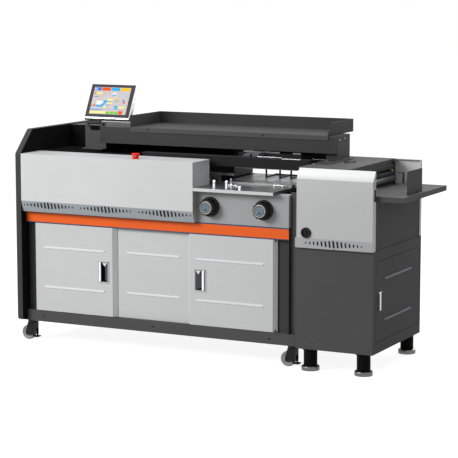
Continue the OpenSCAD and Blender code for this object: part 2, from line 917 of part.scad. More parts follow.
// chrome posts, stop and latch on the table
module table_posts() {
  color(chrome)
    place() {
      for (p = [[102, 30, 47], [169, 30, 47], [181, 55, 24], [251, 6.5, 22]])
        translate([hood_x + p[0], p[1], table_z])
          cylinder(h = p[2], r = 6.2, $fn = 32);
      translate([hood_x + 181, 55, table_z + 23])
        cylinder(h = 27, r = 2, $fn = 16);
      span([hood_x + 335, 188, table_z], [hood_x + 347, 212, table_z + 12]);
      span([hood_x + 387, 188, table_z], [hood_x + 399, 212, table_z + 12]);
      span([hood_x + 330, 194, table_z + 11], [hood_x + 404, 206, table_z + 19]);
      span([hood_x + 120, 130, table_z], [hood_x + 180, 150, table_z + 12]);
      span([hood_x + 140, 110, table_z], [hood_x + 150, 150, table_z + 8]);
    }
}

// dark column between the main body and the feeder
module link_column() {
  top = table_z - 10;
  color(dark)
    place()
      difference() {
        union() {
          span([main_w, door_y + 22, floor_z], [feeder_x, feeder_back - 12, top]);
          span([main_w, rail_y - 7, floor_z], [feeder_x, feeder_back - 12, rail_z]);
          span([main_w, door_y + 22, floor_z], [feeder_x, door_y + 26, table_z - 2]);
        }
        span([main_w + 3, door_y + 28, floor_z - 1], [feeder_x - 3, feeder_back - 16, top - 4]);
      }
}

// feeder cabinet, open on the side of its door
module feeder_cabinet() {
  z0 = foot_h;
  z1 = seam_z;
  y0 = feeder_y;
  y1 = feeder_back;
  color(dark)
    place()
      difference() {
        span([feeder_x, y0, z0], [feeder_end, y1, z1]);
        span([feeder_x + 3, y0 + 3, z0 + 10], [feeder_end - 18, y1 - 3, z1 - 4]);
        span([feeder_end - 20, y0 + 35, z0 + 52.5], [feeder_end + 1, y1 - 16.5, z1 - 52]);
        for (x = feet_x)
          for (y = feet_y)
            translate([x, y, z0 - 1])
              cylinder(h = 20, r = 8 + run_gap, $fn = 32);
      }
  color(dark)
    place()
      for (z = [z0 + 52, z1 - 64])
        translate([feeder_end - 5, y1 - 24, z])
          cylinder(h = 12.5, r = 2.5, $fn = 32);
}

// feeder's side door, inset in its opening, with its ribs and pull
module feeder_door() {
  z0 = foot_h + 52.5 + 2;
  z1 = seam_z - 54;
  y0 = feeder_y + 37;
  y1 = feeder_back - 20;
  color(dark)
    place()
      difference() {
        union() {
          span([feeder_end - 15, y0, z0], [feeder_end, y1, z1]);
          for (z = [z0 + 95, z1 - 89])
            span([feeder_end - 1, y0 + 106, z - 5], [feeder_end + 2.5, y1 - 116, z + 5]);
          span([feeder_end - 1, y0 + 30, z0 + 145], [feeder_end + 3, y0 + 74, z0 + 236]);
          span([feeder_end + 2, y0 + 36, z0 + 150], [feeder_end + 8, y0 + 46, z0 + 231]);
        }
        span([feeder_end - 16, y0 + 26, z0 + 20], [feeder_end - 13, y1 - 26, z1 - 20]);
        span([feeder_end - 11, y0 + 48, z0 + 151], [feeder_end + 4, y0 + 68, z0 + 230]);
        for (z = [z0 - 1, z1 - 11])
          translate([feeder_end - 5, feeder_back - 24, z])
            cylinder(h = 12, r = 2.5 + run_gap, $fn = 32);
      }
}

// upper body of the feeder, between its two covers
module feeder_upper() {
  low = tray_z - 6;
  y0 = feeder_y + 25;
  y1 = feeder_back - 24;
  color(dark)
    place()
      difference() {
        union() {
          difference() {
            span([feeder_x + 8, y0, seam_z], [feeder_end - 3, y1, low]);
            span([feeder_x + 11, y0 + 6, seam_z - 1], [feeder_end - 6, y1 - 6, low - 4]);
          }
          span([feeder_x, y0, low - 1], [feeder_end - 3, y0 + 6, hood_top - 6]);
          span([feeder_x, roll_back - 6, low - 50], [roll_x + 13, roll_back, hood_top - 6]);
          span([feeder_x, y0, seam_z], [feeder_x + 9, y1, hood_top - 6]);
          span([roll_x - 16, y0 + 5, tray_z + 74], [roll_x + 8, roll_back - 5, tray_z + 94]);
          span([roll_x - 16, y0 + 5, tray_z + 50], [roll_x + 18, roll_back - 5, tray_z + 64]);
        }
        span([roll_x - 24, y0 + 6, low - 5], [roll_x + 24, roll_back - 6, low + 2]);
        bar_y(roll_x, tray_z - 19.5, y0 - 1, roll_back + 1, 7 + run_gap);
        bar_y(roll_x, tray_z + 25, y0 - 1, roll_back + 1, 7 + run_gap);
      }
}

// white front cover of the feeder, with its sloped top edge and vents
module feeder_front() {
  y1 = feeder_y + 24;
  outer = [[cover_y, seam_z], [cover_y, hood_top - 50], [cover_y + 32, hood_top - 2],
    [y1, hood_top - 2], [y1, seam_z]];
  inner = [[cover_y + 3, seam_z - 1], [cover_y + 3, hood_top - 50], [cover_y + 34, hood_top - 5],
    [y1 + 1, hood_top - 5], [y1 + 1, seam_z - 1]];
  color(pale)
    place()
      difference() {
        side_plate(feeder_x + 8, feeder_end - feeder_x - 8, outer);
        side_plate(feeder_x + 11, feeder_end - feeder_x - 14, inner);
        for (i = [-7:7])
          cover_slot(feeder_x + 199 + i * 20.3, 36 - 4.1 * abs(i));
        span([feeder_end - 6, cover_y + 16, tray_z - 25], [feeder_end + 1, y1 + 1, tray_z + 31]);
      }
}

// one vent slot in the feeder's front cover
module cover_slot(x, length) {
  span([x - 3, cover_y - 1, seam_z + 25 - length / 2], [x + 3, cover_y + 5, seam_z + 25 + length / 2]);
}

// light rear cover of the feeder
module feeder_rear() {
  color(grey)
    place() {
      span([feeder_x + 8, feeder_back - 3, seam_z], [feeder_end, feeder_back, hood_top - 1]);
      span([feeder_end - 3, feeder_back - 23, seam_z], [feeder_end, feeder_back, hood_top - 1]);
      span([feeder_x + 8, feeder_back - 23, seam_z], [feeder_x + 11, feeder_back, hood_top - 1]);
      span([feeder_x + 8, feeder_back - 23, hood_top - 4], [feeder_end, feeder_back, hood_top - 1]);
    }
}

// dark plate over the feeder
module feeder_top() {
  x1 = feeder_end - 136;
  y0 = feeder_y + 25;
  y1 = feeder_back - 24;
  color(dark)
    place() {
      span([feeder_x, y0, hood_top - 6], [x1, y1, hood_top]);
      span([x1 - 4, y0 + 7, hood_top - 24], [x1, roll_back - 7, hood_top]);
    }
}

// a feed roller and its shaft
module feed_roller(z) {
  y0 = feeder_y + 25;
  bar_y(roll_x, z, y0 + 10, roll_back - 10, feed_dia / 2);
  bar_y(roll_x, z, y0 + 1, roll_back - 1, 7);
}

module feed_roller_low() {
  color(rubber)
    place()
      feed_roller(tray_z - 19.5);
}

module feed_roller_high() {
  color(rubber)
    place()
      feed_roller(tray_z + 25);
}

// cover tray, with its lip, the slot of the stop and the small bracket at its rear
module cover_tray() {
  x0 = roll_x + 45;
  y0 = feeder_y + 32;
  y1 = feeder_back - 37;
  out = feeder_end + 1;
  end = feeder_end + tray_out;
  color(dark)
    place()
      difference() {
        union() {
          span([x0, y0, tray_z - 6], [out + 1, y1, tray_z]);
          span([out, y0 - 12, tray_z - 6], [end, y1, tray_z]);
          span([end - 4, y0 - 12, tray_z - 25], [end, y1, tray_z]);
          span([out, y0 - 12, tray_z - 25], [end, y0 - 8, tray_z]);
          span([out, y1 - 4, tray_z - 25], [end, y1, tray_z]);
          span([x0, y1 - 6, tray_z - 1], [x0 + 9, y1 - 2, tray_z + 53]);
          span([x0 - 24, y1 - 6, tray_z + 49], [x0 + 9, y1 - 2, tray_z + 53]);
        }
        span([end - 94, y0 + 178, tray_z - 10], [end - 12, y0 + 188, tray_z + 1]);
      }
}

// end stop on the cover tray, with its key in the tray's slot
module tray_stop() {
  x = feeder_end + tray_out - 26;
  y0 = feeder_y + 120;
  color(dark)
    place() {
      span([x, y0, tray_z + seat], [x + 3, y0 + 190, tray_z + 112]);
      span([x - 26, y0 + 60, tray_z + seat], [x + 1, y0 + 130, tray_z + 3]);
      span([x - 20, feeder_y + 210.3, tray_z - 8], [x - 6, feeder_y + 219.7, tray_z + 1]);
      translate([x - 13, feeder_y + 215, tray_z + 2])
        cylinder(h = 12, r = 8, $fn = 32);
      translate([x - 13, feeder_y + 215, tray_z - 12])
        cylinder(h = 5.7, r = 9, $fn = 32);
    }
}

// round black buzzer on the feeder's front cover
module signal_buzzer() {
  color(black)
    place() {
      difference() {
        bar_y(feeder_x + 58, seam_z + 73, cover_y - 10, cover_y, 25);
        bar_y(feeder_x + 58, seam_z + 73, cover_y - 12, cover_y - 7, 16);
      }
      bar_y(feeder_x + 58, seam_z + 73, cover_y - 11, cover_y - 6, 6);
    }
}

// four levelling feet under the feeder
module levelling_feet() {
  ribs = [for (i = [0:6]) each [[31, 30 + i * 9], [31, 35 + i * 9], [27, 37 + i * 9]]];
  body = concat([[0, 0], [44, 0], [44, 10], [36, 18], [31, 22]], ribs);
  color(black)
    place()
      for (x = feet_x)
        for (y = feet_y)
          translate([x, y, 0]) {
            rotate_extrude($fn = 40)
              polygon(concat(body, [[27, foot_h - 4], [38, foot_h - 4], [38, foot_h], [0, foot_h]]));
            translate([0, 0, foot_h - 1])
              cylinder(h = 14, r = 8, $fn = 32);
          }
}

// drive motor and its gearbox on the cabinet floor
module drive_motor() {
  x = left_x + 150;
  y = body_d / 2;
  color(blue)
    place() {
      span([x - 10, y - 80, floor_z], [x + 75 + motor_w, y + 80, floor_z + 12]);
      span([x, y - 60, floor_z + 11], [x + 70, y + 60, floor_z + 150]);
      translate([x + 69, y, floor_z + 85])
        rotate([0, 90, 0])
          cylinder(h = motor_w, r = 62, $fn = 48);
    }
}

base_frame();
left_panel();
cabinet_frame();
cabinet_shell();
middle_panel();
orange_strip();
dial_panel();
hood();
inner_frame();
estop_collar();
estop_button();
knob_left();
knob_right();
left_door();
left_handle();
right_door();
right_handle();
fork_front_left();
fork_front_right();
fork_rear_left();
fork_rear_right();
wheel_front_left();
wheel_front_right();
wheel_rear_left();
wheel_rear_right();
top_beam();
shelf();
rear_housing();
screen_bracket();
touch_screen();
work_table();
nip_frame();
nip_bed();
nip_jaw_front();
nip_jaw_rear();
guide_rail();
clamp_carriage();
clamp_jaw();
milling_unit();
milling_cutter();
glue_tank();
glue_roller_left();
glue_roller_right();
guide_fingers();
table_posts();
link_column();
feeder_cabinet();
feeder_door();
feeder_upper();
feeder_front();
feeder_rear();
feeder_top();
feed_roller_low();
feed_roller_high();
cover_tray();
tray_stop();
signal_buzzer();
levelling_feet();
drive_motor();
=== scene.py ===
import json
import math

import bpy
from mathutils import Matrix, Vector

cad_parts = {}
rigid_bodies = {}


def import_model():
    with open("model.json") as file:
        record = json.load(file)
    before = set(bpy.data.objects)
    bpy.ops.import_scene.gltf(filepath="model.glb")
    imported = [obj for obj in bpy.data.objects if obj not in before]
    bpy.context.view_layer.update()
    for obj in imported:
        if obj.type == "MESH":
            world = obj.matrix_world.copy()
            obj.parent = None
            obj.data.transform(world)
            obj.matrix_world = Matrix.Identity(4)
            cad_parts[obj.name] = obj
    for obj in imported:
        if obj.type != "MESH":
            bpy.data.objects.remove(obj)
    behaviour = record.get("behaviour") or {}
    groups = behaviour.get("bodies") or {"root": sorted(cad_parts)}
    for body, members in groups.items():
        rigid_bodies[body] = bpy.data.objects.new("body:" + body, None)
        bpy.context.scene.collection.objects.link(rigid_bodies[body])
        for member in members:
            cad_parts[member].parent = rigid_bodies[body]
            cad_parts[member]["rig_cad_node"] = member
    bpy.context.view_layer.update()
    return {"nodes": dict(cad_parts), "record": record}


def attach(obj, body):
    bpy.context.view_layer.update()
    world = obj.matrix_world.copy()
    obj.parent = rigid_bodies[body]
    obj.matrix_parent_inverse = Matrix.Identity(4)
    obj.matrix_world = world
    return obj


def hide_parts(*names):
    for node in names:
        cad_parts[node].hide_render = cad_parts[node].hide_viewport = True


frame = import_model()
slotOf = {entry["node"]: entry["material_slot"] for entry in frame["record"]["subparts"]}
print("stage: frame loaded")

# The drawing's own zero is the left panel's outer face and the hood's front, in millimetres.
zeroX, zeroY = -1039.25, -360.5


def at(x, y, z):
    return Vector(((x + zeroX) / 1000, (y + zeroY) / 1000, z / 1000))


# the place in the drawing's millimetres, the angles in degrees, the clip in metres
camera = {"place": (5092.8, -7776.2, 1897.3), "tilt": 81.9, "turn": 26.5, "lens": 143.45,
          "clipEnd": 60}
bpy.ops.object.camera_add(location=at(*camera["place"]),
                          rotation=(math.radians(camera["tilt"]), 0, math.radians(camera["turn"])))
shot = bpy.context.active_object
shot.data.lens = camera["lens"]
shot.data.clip_end = camera["clipEnd"]
bpy.context.scene.camera = shot
bpy.context.scene.view_settings.view_transform = "Standard"
print("stage: camera")


# ways of handling a piece: angles in degrees, the weld in metres
edges = {"bevelAngle": 35, "smoothAngle": 32, "turnedAngle": 40, "flatAngle": 0.5, "weld": 0.00002}


def clearSelection():
    if bpy.context.object and bpy.context.object.mode != "OBJECT":
        bpy.ops.object.mode_set(mode="OBJECT")
    bpy.ops.object.select_all(action="DESELECT")


def pick(piece):
    clearSelection()
    piece.hide_viewport = False
    piece.select_set(True)
    bpy.context.view_layer.objects.active = piece


def settle(piece):
    pick(piece)
    bpy.ops.object.transform_apply(location=True, rotation=True, scale=True)


def pickFaces(piece, isChosen):
    # opens the piece in edit mode with the chosen faces selected
    pick(piece)
    bpy.ops.object.mode_set(mode="EDIT")
    bpy.ops.mesh.select_mode(type="FACE")
    bpy.ops.mesh.select_all(action="DESELECT")
    bpy.ops.object.mode_set(mode="OBJECT")
    for face in piece.data.polygons:
        face.select = isChosen(face)
    bpy.ops.object.mode_set(mode="EDIT")


def softenEdges(piece, width, segments=2):
    # rounds the piece's sharp edges by width, in millimetres
    pick(piece)
    bevel = piece.modifiers.new("rounding", "BEVEL")
    bevel.width = width / 1000
    bevel.segments = segments
    bevel.limit_method = "ANGLE"
    bevel.angle_limit = math.radians(edges["bevelAngle"])
    bpy.ops.object.modifier_apply(modifier=bevel.name)
    bpy.ops.object.shade_smooth_by_angle(angle=math.radians(edges["smoothAngle"]))
    weighting = piece.modifiers.new("weighting", "WEIGHTED_NORMAL")
    weighting.keep_sharp = True
    bpy.ops.object.modifier_apply(modifier=weighting.name)


def roundedCopy(nodeName, width):
    # the CAD node's own shape with its edges rounded
    source = frame["nodes"][nodeName]
    pick(source)
    bpy.ops.object.duplicate()
    piece = bpy.context.active_object
    piece.name = nodeName + "Shell"
    del piece["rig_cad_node"]
    bpy.ops.object.mode_set(mode="EDIT")
    bpy.ops.mesh.select_all(action="SELECT")
    bpy.ops.mesh.remove_doubles(threshold=edges["weld"])
    bpy.ops.mesh.dissolve_limited(angle_limit=math.radians(edges["flatAngle"]))
    bpy.ops.object.mode_set(mode="OBJECT")
    softenEdges(piece, width)
    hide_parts(nodeName)
    return piece


def block(name, low, high, rounding=0.6, segments=2):
    # a bar or plate between two corners of the drawing
    clearSelection()
    a, b = at(*low), at(*high)
    bpy.ops.mesh.primitive_cube_add(size=1, location=(a + b) / 2)
    piece = bpy.context.active_object
    piece.name = name
    piece.scale = b - a
    settle(piece)
    softenEdges(piece, rounding, segments)
    return piece


facings = {"up": (0, 0, 0), "front": (90, 0, 0), "right": (0, 90, 0), "back": (-90, 0, 0)}


def turned(name, profile, place, facing, sides):
    # a turned piece: a disc raised and resized ring by ring along its profile of (radius, height)
    clearSelection()
    radius, height = profile[0]
    bpy.ops.mesh.primitive_circle_add(vertices=sides, radius=radius / 1000, fill_type="NGON",
                                      location=(0, 0, height / 1000))
    piece = bpy.context.active_object
    piece.name = name
    bpy.ops.object.transform_apply(location=True, rotation=True, scale=True)
    bpy.ops.object.mode_set(mode="EDIT")
    bpy.ops.mesh.select_all(action="SELECT")
    for nextRadius, nextHeight in profile[1:]:
        rise = (nextHeight - height) / 1000
        bpy.ops.mesh.extrude_region_move(TRANSFORM_OT_translate={"value": (0, 0, rise)})
        ratio = nextRadius / radius
        bpy.ops.transform.resize(value=(ratio, ratio, 1), center_override=(0, 0, nextHeight / 1000))
        radius, height = nextRadius, nextHeight
    bpy.ops.mesh.select_all(action="SELECT")
    bpy.ops.mesh.normals_make_consistent(inside=False)
    bpy.ops.object.mode_set(mode="OBJECT")
    piece.rotation_euler = [math.radians(angle) for angle in facings[facing]]
    piece.location = at(*place)
    settle(piece)
    bpy.ops.object.shade_smooth_by_angle(angle=math.radians(edges["turnedAngle"]))
    return piece


def joined(name, parts):
    clearSelection()
    for part in parts:
        part.select_set(True)
    bpy.context.view_layer.objects.active = parts[0]
    bpy.ops.object.join()
    piece = bpy.context.active_object
    piece.name = name
    return piece


def leaned(piece, degrees, axis, pivot):
    # turns a piece about an axis through the pivot
    turn = Matrix.Rotation(math.radians(degrees), 4, axis)
    piece.matrix_world = Matrix.Translation(pivot) @ turn @ Matrix.Translation(-pivot)
    settle(piece)
    return piece


def finishPiece(piece, material, body, slotName, *nodes):
    # gives a piece its finish, its body and the CAD nodes it stands for
    piece.data.materials.clear()
    piece.data.materials.append(material)
    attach(piece, body)
    if nodes:
        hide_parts(*nodes)


def paintFaces(piece, material, isChosen):
    # gives the chosen faces of a finished piece a second finish
    piece.data.materials.append(material)
    index = len(piece.data.materials) - 1
    for face in piece.data.polygons:
        if isChosen(face):
            face.material_index = index


# effects shared by the materials

def newGroup(name, inputs, outputs):
    group = bpy.data.node_groups.new(name, "ShaderNodeTree")
    for label, kind, value in inputs:
        made = group.interface.new_socket(name=label, in_out="INPUT", socket_type=kind)
        made.default_value = value
    for label, kind in outputs:
        group.interface.new_socket(name=label, in_out="OUTPUT", socket_type=kind)
    start = group.nodes.new("NodeGroupInput")
    end = group.nodes.new("NodeGroupOutput")
    return group, start, end


def wire(tree, fromNode, fromSocket, toNode, toSocket):
    tree.links.new(fromNode.outputs[fromSocket], toNode.inputs[toSocket])


def noiseOn(tree, scaleValue, detail, rough, stretch=None):
    place = tree.nodes.new("ShaderNodeTexCoord")
    noise = tree.nodes.new("ShaderNodeTexNoise")
    noise.inputs["Scale"].default_value = scaleValue
    noise.inputs["Detail"].default_value = detail
    noise.inputs["Roughness"].default_value = rough
    if stretch:
        mapping = tree.nodes.new("ShaderNodeMapping")
        mapping.inputs["Scale"].default_value = stretch
        wire(tree, place, "Object", mapping, "Vector")
        wire(tree, mapping, "Vector", noise, "Vector")
    else:
        wire(tree, place, "Object", noise, "Vector")
    return noise


def spreadOf(tree, source, socket, span, result):
    # maps the source's (low, high) span onto the pair result
    ramp = tree.nodes.new("ShaderNodeMapRange")
    ramp.inputs["From Min"].default_value = span[0]
    ramp.inputs["From Max"].default_value = span[1]
    ramp.inputs["To Min"].default_value = result[0]
    ramp.inputs["To Max"].default_value = result[1]
    wire(tree, source, socket, ramp, "Value")
    return ramp


def combined(tree, operation, first, second):
    # first and second are (node, socket) pairs, or a number for second
    node = tree.nodes.new("ShaderNodeMath")
    node.operation = operation
    wire(tree, first[0], first[1], node, 0)
    if isinstance(second, tuple):
        wire(tree, second[0], second[1], node, 1)
    else:
        node.inputs[1].default_value = second
    return node


def scaledColour(tree, start, factor):
    tone = tree.nodes.new("ShaderNodeVectorMath")
    tone.operation = "SCALE"
    wire(tree, start, "Colour", tone, 0)
    wire(tree, factor[0], factor[1], tone, "Scale")
    return tone


# the part of its range that a noise mostly fills
noiseSpan = (0.3, 0.7)


def mottledColour(tree, start, noise, amountSocket):
    # the group's colour, made lighter and darker along the noise
    centred = spreadOf(tree, noise, "Fac", noiseSpan, (-1, 1))
    amount = combined(tree, "MULTIPLY", (centred, "Result"), (start, amountSocket))
    lift = combined(tree, "ADD", (amount, "Value"), 1)
    return scaledColour(tree, start, (lift, "Value"))


def shiftRoughness(tree, start, end, noise, span, shift):
    # the group's roughness, moved along the noise between the two ends of shift
    moved = spreadOf(tree, noise, "Fac", span, shift)
    rough = combined(tree, "ADD", (start, "Roughness"), (moved, "Result"))
    wire(tree, rough, "Value", end, "Roughness")


# powder coat: slow mottling of the colour, fine orange peel, and dust that gathers low down.
# Noises are (scale, detail, roughness); dust thins out between the two heights, in metres.
powder = {"mottle": (3.2, 4, 0.55), "peel": (420, 2, 0.5), "speck": (60, 6, 0.7), "speckSpan": (0.45, 0.7),
          "dustHeights": (0.05, 0.45), "dustColour": (0.4, 0.39, 0.37, 1), "sheenShift": (-0.05, 0.05)}


def makePaintTone():
    group, start, end = newGroup(
        "powderCoat",
        [("Colour", "NodeSocketColor", (0.5, 0.5, 0.5, 1)), ("Mottle", "NodeSocketFloat", 0.05),
         ("Roughness", "NodeSocketFloat", 0.4), ("Dust", "NodeSocketFloat", 0.05)],
        [("Colour", "NodeSocketColor"), ("Roughness", "NodeSocketFloat"), ("Peel", "NodeSocketFloat")])
    slow = noiseOn(group, *powder["mottle"])
    tone = mottledColour(group, start, slow, "Mottle")
    place = group.nodes.new("ShaderNodeTexCoord")
    split = group.nodes.new("ShaderNodeSeparateXYZ")
    wire(group, place, "Object", split, "Vector")
    low = spreadOf(group, split, "Z", powder["dustHeights"], (1, 0))
    speck = spreadOf(group, noiseOn(group, *powder["speck"]), "Fac", powder["speckSpan"], (0, 1))
    dust = combined(group, "MULTIPLY", (low, "Result"), (speck, "Result"))
    dusted = combined(group, "MULTIPLY", (dust, "Value"), (start, "Dust"))
    mixed = group.nodes.new("ShaderNodeMix")
    mixed.data_type = "RGBA"
    mixed.inputs["B"].default_value = powder["dustColour"]
    wire(group, dusted, "Value", mixed, "Factor")
    wire(group, tone, "Vector", mixed, "A")
    wire(group, mixed, "Result", end, "Colour")
    shiftRoughness(group, start, end, slow, noiseSpan, powder["sheenShift"])
    wire(group, noiseOn(group, *powder["peel"]), "Fac", end, "Peel")
    return group


# brushed metal: long fine scratches along X, crossed by a few handling marks.
# Noises are (scale, detail, roughness, stretch).
brush = {"lines": (30, 5, 0.6, (1.5, 60, 60)), "marks": (7, 6, 0.7, (4, 1, 1)), "markSpan": (0.35, 0.7),
         "smear": (-0.06, 0.12)}


def makeBrushTone():
    group, start, end = newGroup(
        "brushedMetal",
        [("Colour", "NodeSocketColor", (0.5, 0.5, 0.5, 1)), ("Contrast", "NodeSocketFloat", 0.12),
         ("Roughness", "NodeSocketFloat", 0.3)],
        [("Colour", "NodeSocketColor"), ("Roughness", "NodeSocketFloat"), ("Scratch", "NodeSocketFloat")])
    lines = noiseOn(group, *brush["lines"])
    tone = mottledColour(group, start, lines, "Contrast")
    wire(group, tone, "Vector", end, "Colour")
    shiftRoughness(group, start, end, noiseOn(group, *brush["marks"]), brush["markSpan"], brush["smear"])
    wire(group, lines, "Fac", end, "Scratch")
    return group


# moulded plastic and rubber: fine pitted grain and faint smudges
grain = {"pits": (900, 3, 0.6), "smudge": (18, 4, 0.6), "lift": (0.88, 1.12), "shift": (-0.07, 0.09)}


def makeGrainTone():
    group, start, end = newGroup(
        "mouldedGrain",
        [("Colour", "NodeSocketColor", (0.1, 0.1, 0.1, 1)), ("Roughness", "NodeSocketFloat", 0.5)],
        [("Colour", "NodeSocketColor"), ("Roughness", "NodeSocketFloat"), ("Grain", "NodeSocketFloat")])
    smudge = noiseOn(group, *grain["smudge"])
    lift = spreadOf(group, smudge, "Fac", noiseSpan, grain["lift"])
    tone = scaledColour(group, start, (lift, "Result"))
    wire(group, tone, "Vector", end, "Colour")
    shiftRoughness(group, start, end, smudge, noiseSpan, grain["shift"])
    wire(group, noiseOn(group, *grain["pits"]), "Fac", end, "Grain")
    return group


powderCoat = makePaintTone()
brushedMetal = makeBrushTone()
mouldedGrain = makeGrainTone()


bumpStrength = 0.3


def finishFrom(group, name, values, heightSocket, metallic=0.0, coat=0.0, gloss=0.5, bumpDepth=0.0002):
    # a material whose colour, roughness and bump come from the group; the bump's depth is in metres
    material = bpy.data.materials.new(name)
    material.use_nodes = True
    tree = material.node_tree
    shader = tree.nodes["Principled BSDF"]
    shader.inputs["Metallic"].default_value = metallic
    shader.inputs["Coat Weight"].default_value = coat
    shader.inputs["Specular IOR Level"].default_value = gloss
    effect = tree.nodes.new("ShaderNodeGroup")
    effect.node_tree = group
    for label, value in values.items():
        effect.inputs[label].default_value = value
    wire(tree, effect, "Colour", shader, "Base Color")
    wire(tree, effect, "Roughness", shader, "Roughness")
    bump = tree.nodes.new("ShaderNodeBump")
    bump.inputs["Distance"].default_value = bumpDepth
    bump.inputs["Strength"].default_value = bumpStrength
    wire(tree, effect, heightSocket, bump, "Height")
    wire(tree, bump, "Normal", shader, "Normal")
    return material


def paint(name, colour, roughness=0.42, mottle=0.04, dust=0.06, gloss=0.5):
    values = {"Colour": (*colour, 1), "Mottle": mottle, "Roughness": roughness, "Dust": dust}
    return finishFrom(powderCoat, name, values, "Peel", gloss=gloss)


def metal(name, colour, roughness=0.3, contrast=0.12):
    values = {"Colour": (*colour, 1), "Contrast": contrast, "Roughness": roughness}
    return finishFrom(brushedMetal, name, values, "Scratch", metallic=1.0, bumpDepth=0.0001)


def moulded(name, colour, roughness=0.5, coat=0.0, gloss=0.5):
    values = {"Colour": (*colour, 1), "Roughness": roughness}
    return finishFrom(mouldedGrain, name, values, "Grain", coat=coat, gloss=gloss, bumpDepth=0.0001)


fieldGlow = {"shade": 0.5, "roughness": 0.35, "gloss": 0.05, "strength": 0.5}


def lit(name, colour):
    # a lit field of the touch screen
    shade = [part * fieldGlow["shade"] for part in colour]
    material = moulded(name, shade, fieldGlow["roughness"], gloss=fieldGlow["gloss"])
    shader = material.node_tree.nodes["Principled BSDF"]
    shader.inputs["Emission Color"].default_value = (*colour, 1)
    shader.inputs["Emission Strength"].default_value = fieldGlow["strength"]
    return material


# after the colour: paint has roughness, mottle, dust, gloss; metal has roughness, contrast;
# moulded has roughness, coat, gloss
charcoalPaint = paint("charcoalPaint", (0.056, 0.056, 0.057), 0.55, 0.06, 0.03, 0.05)
basePaint = paint("basePaint", (0.086, 0.086, 0.087), 0.55, 0.06, 0.03, 0.05)
railPaint = paint("railPaint", (0.021, 0.021, 0.0215), 0.5, 0.08, 0.02, 0.04)
# near-black paint for black parts, also painted shade on inner faces, in recesses and behind the vents
blackAndPaintedShade = paint("blackAndPaintedShade", (0.009, 0.009, 0.0095), 0.6, 0.08, 0.02, 0.0)
lightPaint = paint("lightPaint", (0.6, 0.603, 0.605), 0.42, 0.02, 0.04, 0.4)
hoodPaint = paint("hoodPaint", (0.64, 0.643, 0.645), 0.4, 0.018, 0.02, 0.4)
# painted shade: a darker copy of the hood paint for the hood's top and right side
hoodTopSidePaintedShade = paint("hoodTopSidePaintedShade", (0.475, 0.483, 0.49), 0.4, 0.02, 0.02, 0.3)
# painted shade: the dial panel is painted darker than the other light covers, where the table shades it
dialPanelPaintedShade = paint("dialPanelPaintedShade", (0.37, 0.374, 0.38), 0.42, 0.02, 0.03, 0.3)
coverPaint = paint("coverPaint", (0.52, 0.522, 0.526), 0.36, 0.015, 0.03, 0.35)
# painted light: near-white paint for the feeder covers' faces that catch the light
coverPaintedLight = paint("coverPaintedLight", (0.82, 0.822, 0.825), 0.36, 0.01, 0.0, 0.4)
bandPaint = paint("bandPaint", (0.41, 0.425, 0.435), 0.4, 0.02, 0.03, 0.3)
slopePaint = paint("slopePaint", (0.345, 0.38, 0.4), 0.4, 0.02, 0.03, 0.3)
orangePaint = paint("orangePaint", (0.86, 0.125, 0.014), 0.42, 0.03, 0.01, 0.25)
trimBlue = paint("trimBlue", (0.01, 0.065, 0.15), 0.45, 0.05, 0.02, 0.3)
motorBlue = paint("motorBlue", (0.03, 0.1, 0.22), 0.5, 0.08, 0.1)
tableSteel = metal("tableSteel", (0.165, 0.166, 0.17), 0.36, 0.08)
machinedSteel = metal("machinedSteel", (0.5, 0.5, 0.51), 0.3, 0.12)
bedSteel = metal("bedSteel", (0.28, 0.28, 0.29), 0.34, 0.1)
jawSteel = metal("jawSteel", (0.17, 0.17, 0.175), 0.36, 0.1)
brightChrome = metal("brightChrome", (0.85, 0.85, 0.86), 0.14, 0.03)
# dark grey paint for dark parts, also painted shade on one sloped side inside the pull cups
darkGreyAndPaintedShade = paint("darkGreyAndPaintedShade", (0.1, 0.1, 0.105), 0.5, 0.03, 0.0, 0.2)
pullRim = paint("pullRim", (0.52, 0.522, 0.525), 0.35, 0.02, 0.02, 0.4)
footMetal = metal("footMetal", (0.15, 0.148, 0.145), 0.3, 0.05)
blackPlastic = moulded("blackPlastic", (0.005, 0.005, 0.0055), 0.5, 0.0, 0.2)
softRubber = moulded("softRubber", (0.26, 0.262, 0.268), 0.5)
rollerRubber = moulded("rollerRubber", (0.03, 0.03, 0.032), 0.5)
footRubber = moulded("footRubber", (0.003, 0.003, 0.0032), 0.6, 0.0, 0.06)
stopRed = moulded("stopRed", (0.85, 0.012, 0.004), 0.4, 0.0, 0.25)
creamRing = moulded("creamRing", (0.62, 0.56, 0.48), 0.3, 0.3)
dialBlue = moulded("dialBlue", (0.1, 0.16, 0.2), 0.3, 0.5)
handPaint = paint("handPaint", (0.035, 0.03, 0.02), 0.4, 0.02, 0.0, 0.1)
brass = metal("brass", (0.6, 0.4, 0.14), 0.3)
silverFrame = metal("silverFrame", (0.78, 0.78, 0.8), 0.3, 0.05)
# white paint used as a painted highlight on the ribs and on the pull corners
paintedHighlightWhite = paint("paintedHighlightWhite", (0.78, 0.78, 0.81), 0.3, 0.02, 0.02)
ribGrey = paint("ribGrey", (0.13, 0.13, 0.155), 0.45, 0.03, 0.02, 0.2)
bezelBlack = moulded("bezelBlack", (0.02, 0.02, 0.023), 0.4, 0.0, 0.25)
print("stage: materials")

